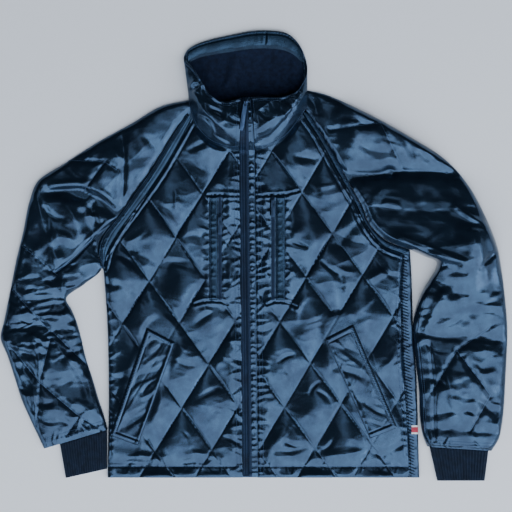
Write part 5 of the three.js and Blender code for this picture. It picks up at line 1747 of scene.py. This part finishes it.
# ---------------------------------------------------------------- pockets and label
@dataclass
class Pockets:
    """The chest zips with their welts, and the slanted hand welts."""

    body: Body
    chest: dict = field(default_factory=lambda: {
        Side.RIGHT: ((-82.0, -67.0), (-65.4, -59.4)), Side.LEFT: ((40.0, 57.0), (32.0, 38.0))})
    hand: dict = field(default_factory=lambda: {Side.RIGHT: HAND_RIGHT, Side.LEFT: HAND_LEFT})
    thickness: float = 2.2
    stitched: tuple[float, float] = (3.4, 7.8)
    coil_pitch: float = 1.5

    def patch(self, side: Side, corners: list, rows: int, columns: int) -> tuple[Surface, Array, Array]:
        """Grid on a front between four corners, with distances across and along in millimetres."""
        a, b, c, d = [np.array(corner, float) for corner in corners]
        t, s = np.linspace(0, 1, rows)[:, None, None], np.linspace(0, 1, columns)[None, :, None]
        plan = mix(mix(a, b, s), mix(d, c, s), t)
        x, y = plan[..., 0], plan[..., 1]
        surface = Surface(np.dstack([x, y, self.body.height(side, x, y) + SEAM_GAP]))
        across = s[..., 0] * np.linalg.norm(b - a) + 0 * t[..., 0]
        along = t[..., 0] * np.linalg.norm(d - a) + 0 * s[..., 0]
        return surface, across, along

    def upright(self, left: float, right: float) -> list:
        """Returns the corners of a strip as tall as a chest pocket."""
        return [[left, CHEST_TOP], [right, CHEST_TOP], [right, CHEST_BOTTOM], [left, CHEST_BOTTOM]]

    def raised(self, base: Surface, height: Array) -> Surface:
        """Returns a patch with a height added."""
        return Surface(base.points + np.dstack([0 * height, 0 * height, height]))

    def make_hand(self, side: Side, finishes: Finishes, sewing: Sewing) -> bpy.types.Object:
        """Returns a hand welt: a raised stitched band at its outer edge, a lip at its opening."""
        base, across, along = self.patch(side, self.hand[side], 137, 37)
        wide, long = across.max(), along.max()
        outer = across if side is Side.RIGHT else wide - across
        ends = np.minimum(along, long - along)
        edge = np.minimum(np.minimum(across, wide - across), ends)
        frame_off = np.minimum(outer, ends)
        rng = np.random.default_rng(131 + side.value)
        spots = rng.uniform([14, 10], [wide - 8, long - 10], (16, 2))
        folds = creases(outer, along, scattered(rng, spots, (34, 66), (-2.8, 2.4), (-50, 12), (0.07, 0.12)))
        within = smooth((frame_off - 9) / 5) * smooth((wide - outer - 3) / 6)
        relief = within * (folds + 0.5 * crumple(outer, along, 20, 133, -50, 2.0))
        relief += 1.3 * (1 - smooth((frame_off - 8) / 3)) * smooth(frame_off / 2)
        ripple = np.cos(2 * math.pi * (along + outer) / 5.0)
        relief += 0.3 * ripple * (1 - smooth((frame_off - 6) / 3))
        for at in (1.8, 9.6):
            relief -= 1.1 * bell(frame_off - at, 1.2)
        relief += 1.3 * bell(wide - outer - 3.5, 3.5)
        relief += 0.9 * puckers(wide - outer, along, 14, 15, 137) * smooth((wide - outer) / 3)
        height = self.thickness * rounded(edge + 0.2, 2.6) + np.maximum(relief, -1.6) * rounded(edge, 5)
        surface = self.raised(base, height)
        piece = walled(f"hand_pocket_welt_{side.word}", surface, base.coarse(), finishes.taffeta)
        in_from, in_to = self.stitched
        low, high = in_from / wide, in_to / wide
        sewing.zigzag(surface, (0.02, 0.98), (low, high) if side is Side.RIGHT else (1 - low, 1 - high), 60)
        for near, far in ((in_from, in_to), (long - in_to, long - in_from)):
            sewing.zigzag(surface, (near / long, far / long), (0.06, 0.94), 14)
        return fit(piece, [f"hand_welt_{side.word}"])

    def make_chest(self, side: Side, finishes: Finishes, sewing: Sewing) -> None:
        """Makes a chest pocket: a crumpled welt with a groove along one side, and its narrow zip."""
        welt, teeth = self.chest[side]
        base, across, along = self.patch(side, self.upright(*welt), 121, 17)
        edge = np.minimum(np.minimum(across, across.max() - across), np.minimum(along, along.max() - along))
        relief = 0.5 * crumple(across, along, 14, 141 + side.value, 60, 2.5)
        relief = relief + 0.9 * puckers(across - 7, along, 9, 12, 143 + side.value) - 1.2 * bell(across, 2.5)
        height = self.thickness * rounded(edge + 0.1, 3.4) + np.maximum(relief, -0.9) * rounded(edge, 4)
        surface = self.raised(base, height)
        piece = walled(f"chest_welt_cloth_{side.word}", surface, base.coarse(), finishes.binding)
        fit(piece, [f"chest_welt_{side.word}"])
        t = np.linspace(0.01, 0.99, 200)
        for at in (0.12, 0.88):
            sewing.add(surface.sample(t, np.full(200, at)), 3.4)
        base, across, _ = self.patch(side, self.upright(*teeth), 121, 9)
        tape = self.raised(base, 0.9 + 0 * across)
        coil_y = np.arange(CHEST_BOTTOM + 2, CHEST_TOP - 1, self.coil_pitch)
        middle = (teeth[0] + teeth[1]) / 2
        x = middle + np.where(np.arange(len(coil_y)) % 2, 0.7, -0.7)
        z = self.body.height(side, x, coil_y) + SEAM_GAP + 1.3
        frames = np.tile(np.eye(3), (len(coil_y), 1, 1))
        coil = repeated(rounded_box((1.5, 0.5, 0.5), 0.2), np.column_stack([x, coil_y, z]), frames)
        solid = joined([shell(tape.points, base.coarse()), coil])
        piece = make_piece(f"chest_zip_coil_{side.word}", solid, finishes.acetal)
        fit(piece, [f"chest_zip_{side.word}"])

    def make_label(self, finishes: Finishes) -> bpy.types.Object:
        """Returns the plain side label: a small woven tab with a stripe, folded into the side seam."""
        body = self.body
        y = np.linspace(-328, -312, 33)[:, None]
        share = np.linspace(0, 1, 33)[None]
        end = x_at(body.side_left, y)
        x = mix(289.3 + 0 * y, end - 0.2, share)
        crown = FRONT_INSIDE + EDGE_LIP + (STITCHED_WALL + 1.5) * rounded(end - x) + 1.0
        surface = Surface(np.dstack([x, y + 0 * x, crown + 0.9 + 0.25 * np.sin(9 * share + 0.4 * y)]))
        piece = walled("side_tab", surface, surface.coarse() - [0, 0, 0.8], finishes.tab)
        piece.data.materials.append(finishes.tab_stripe)
        centres = np.empty(len(piece.data.polygons) * 3)
        piece.data.polygons.foreach_get("center", centres)
        middle = np.abs(centres.reshape(-1, 3)[:, 1] / MM + 320) < 5.0
        piece.data.polygons.foreach_set("material_index", middle.astype(np.int32))
        return fit(piece, ["side_label"])


# ---------------------------------------------------------------- studio
@dataclass
class Studio:
    """A pale floor, a broad soft light from the hem's side, three weaker ones and a camera straight above."""

    centre: tuple[float, float] = (3.7, -0.9)
    lens: float = 260.0
    sensor: float = 36.0
    field: float = 942.0
    floor_size: float = 9.0
    cool: str = "#dfe9fb"

    def light(self, name: str, place: tuple, size: tuple, power: float, aim: tuple = (0.0, 0.0, 0.0)) -> None:
        """Adds an area light of the studio's cool tone, aimed at a point on the floor."""
        data = bpy.data.lights.new(name, "AREA")
        data.shape = "RECTANGLE"
        data.size, data.size_y = size
        data.energy = power
        data.color = linear(self.cool)[:3]
        lamp = bpy.data.objects.new(name, data)
        lamp.location = place
        lamp.visible_camera = False
        lamp.rotation_euler = (Vector(aim) - Vector(place)).to_track_quat("-Z", "Y").to_euler()
        bpy.context.scene.collection.objects.link(lamp)

    def build(self) -> None:
        """Makes floor, lights, world and camera."""
        half = self.floor_size / 2
        mesh = bpy.data.meshes.new("floor")
        corners = [(-half, -half, 0), (half, -half, 0), (half, half, 0), (-half, half, 0)]
        mesh.from_pydata(corners, [], [(0, 1, 2, 3)])
        floor = bpy.data.objects.new("floor", mesh)
        bpy.context.scene.collection.objects.link(floor)
        paper = Hard("studio paper", "#dedfdd", "#e2e2e0", 0.85, 0.0, 0.004, 0.05)
        mesh.materials.append(paper.material())
        self.light("key", (1.86, -2.77, 3.2), (9.4, 7.6), 800.0, (0.96, 0.28, 0.0))
        self.light("ceiling", (0.5, 0.3, 6.0), (4.4, 1.6), 26.0)
        self.light("left side", (-4.3, -2.5, 1.8), (3.6, 3.0), 95.0)
        self.light("right side", (4.8, -1.0, 1.9), (4.0, 3.0), 80.0)
        world = bpy.data.worlds.new("studio")
        world.use_nodes = True
        world.node_tree.nodes["Background"].inputs["Color"].default_value = linear("#c4ccd8")
        world.node_tree.nodes["Background"].inputs["Strength"].default_value = 0.05
        bpy.context.scene.world = world
        camera = bpy.data.cameras.new("camera")
        camera.lens, camera.sensor_width = self.lens, self.sensor
        seat = bpy.data.objects.new("camera", camera)
        seat.location = (self.centre[0] * MM, self.centre[1] * MM, self.field * MM * self.lens / self.sensor)
        bpy.context.scene.collection.objects.link(seat)
        bpy.context.scene.camera = seat


def main() -> None:
    """Builds the studio and the jacket's pieces in order."""
    logging.basicConfig(level=logging.INFO, format="%(message)s")
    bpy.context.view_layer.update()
    finishes = Finishes.make()
    Studio().build()
    body = Body()
    sleeves = [
        Sleeve(Side.RIGHT, SLEEVE_RIGHT, BAND_RIGHT, (0.75, 0.01), [[-346, -409], [-270, -392]], 0.0075),
        Sleeve(Side.LEFT, SLEEVE_LEFT, BAND_LEFT, (0.04, 0.95), [[337, -414], [424, -414]], 0.0045, 9.0),
    ]
    body.make_back({sleeve.side: sleeve.raglan for sleeve in sleeves}, finishes)
    topstitch, quilting = Sewing(), Sewing(pitch=4.6, length=3.0, width=0.6, rise=0.05)
    for side in Side:
        body.make_front(side, finishes)
    body.sew(topstitch)
    body.quilting(quilting)
    for sleeve in sleeves:
        sleeve.make_sleeve(finishes)
        sleeve.make_band(finishes)
        sleeve.make_cuff(finishes)
        sleeve.sew(topstitch)
    collar = Collar()
    collar.make_collar(finishes)
    collar.make_facing(finishes)
    collar.make_lining(finishes)
    collar.sew(topstitch)
    centre_zip = Zip()
    for side in Side:
        centre_zip.make_tape(body, side, finishes, topstitch)
    centre_zip.make_teeth(body, finishes)
    pockets = Pockets(body)
    for side in Side:
        pockets.make_chest(side, finishes, topstitch)
        pockets.make_hand(side, finishes, topstitch)
    pockets.make_label(finishes)
    pivots = {joint["child"]: [1000 * value for value in joint["pos_m"]] for joint in frame["joints"]}
    pullers = [Puller("main", "zip_slider", "zip_pull_tab", "main_pull", pivots["main_pull"],
                      54.0, -9.0, -5.62, False)]
    for word in (side.word for side in Side):
        swinging = f"chest_pull_{word}"
        pullers.append(Puller(f"chest_{word}", f"chest_slider_{word}", f"chest_pull_tab_{word}", swinging,
                              pivots[swinging], 32.0, 0.0, 4.0))
    for puller in pullers:
        puller.make_slider(finishes)
        puller.make_tab(finishes)
    topstitch.build("topstitching", finishes.topstitch)
    quilting.build("quilting_stitches", finishes.thread)


if __name__ == "__main__":
    main()
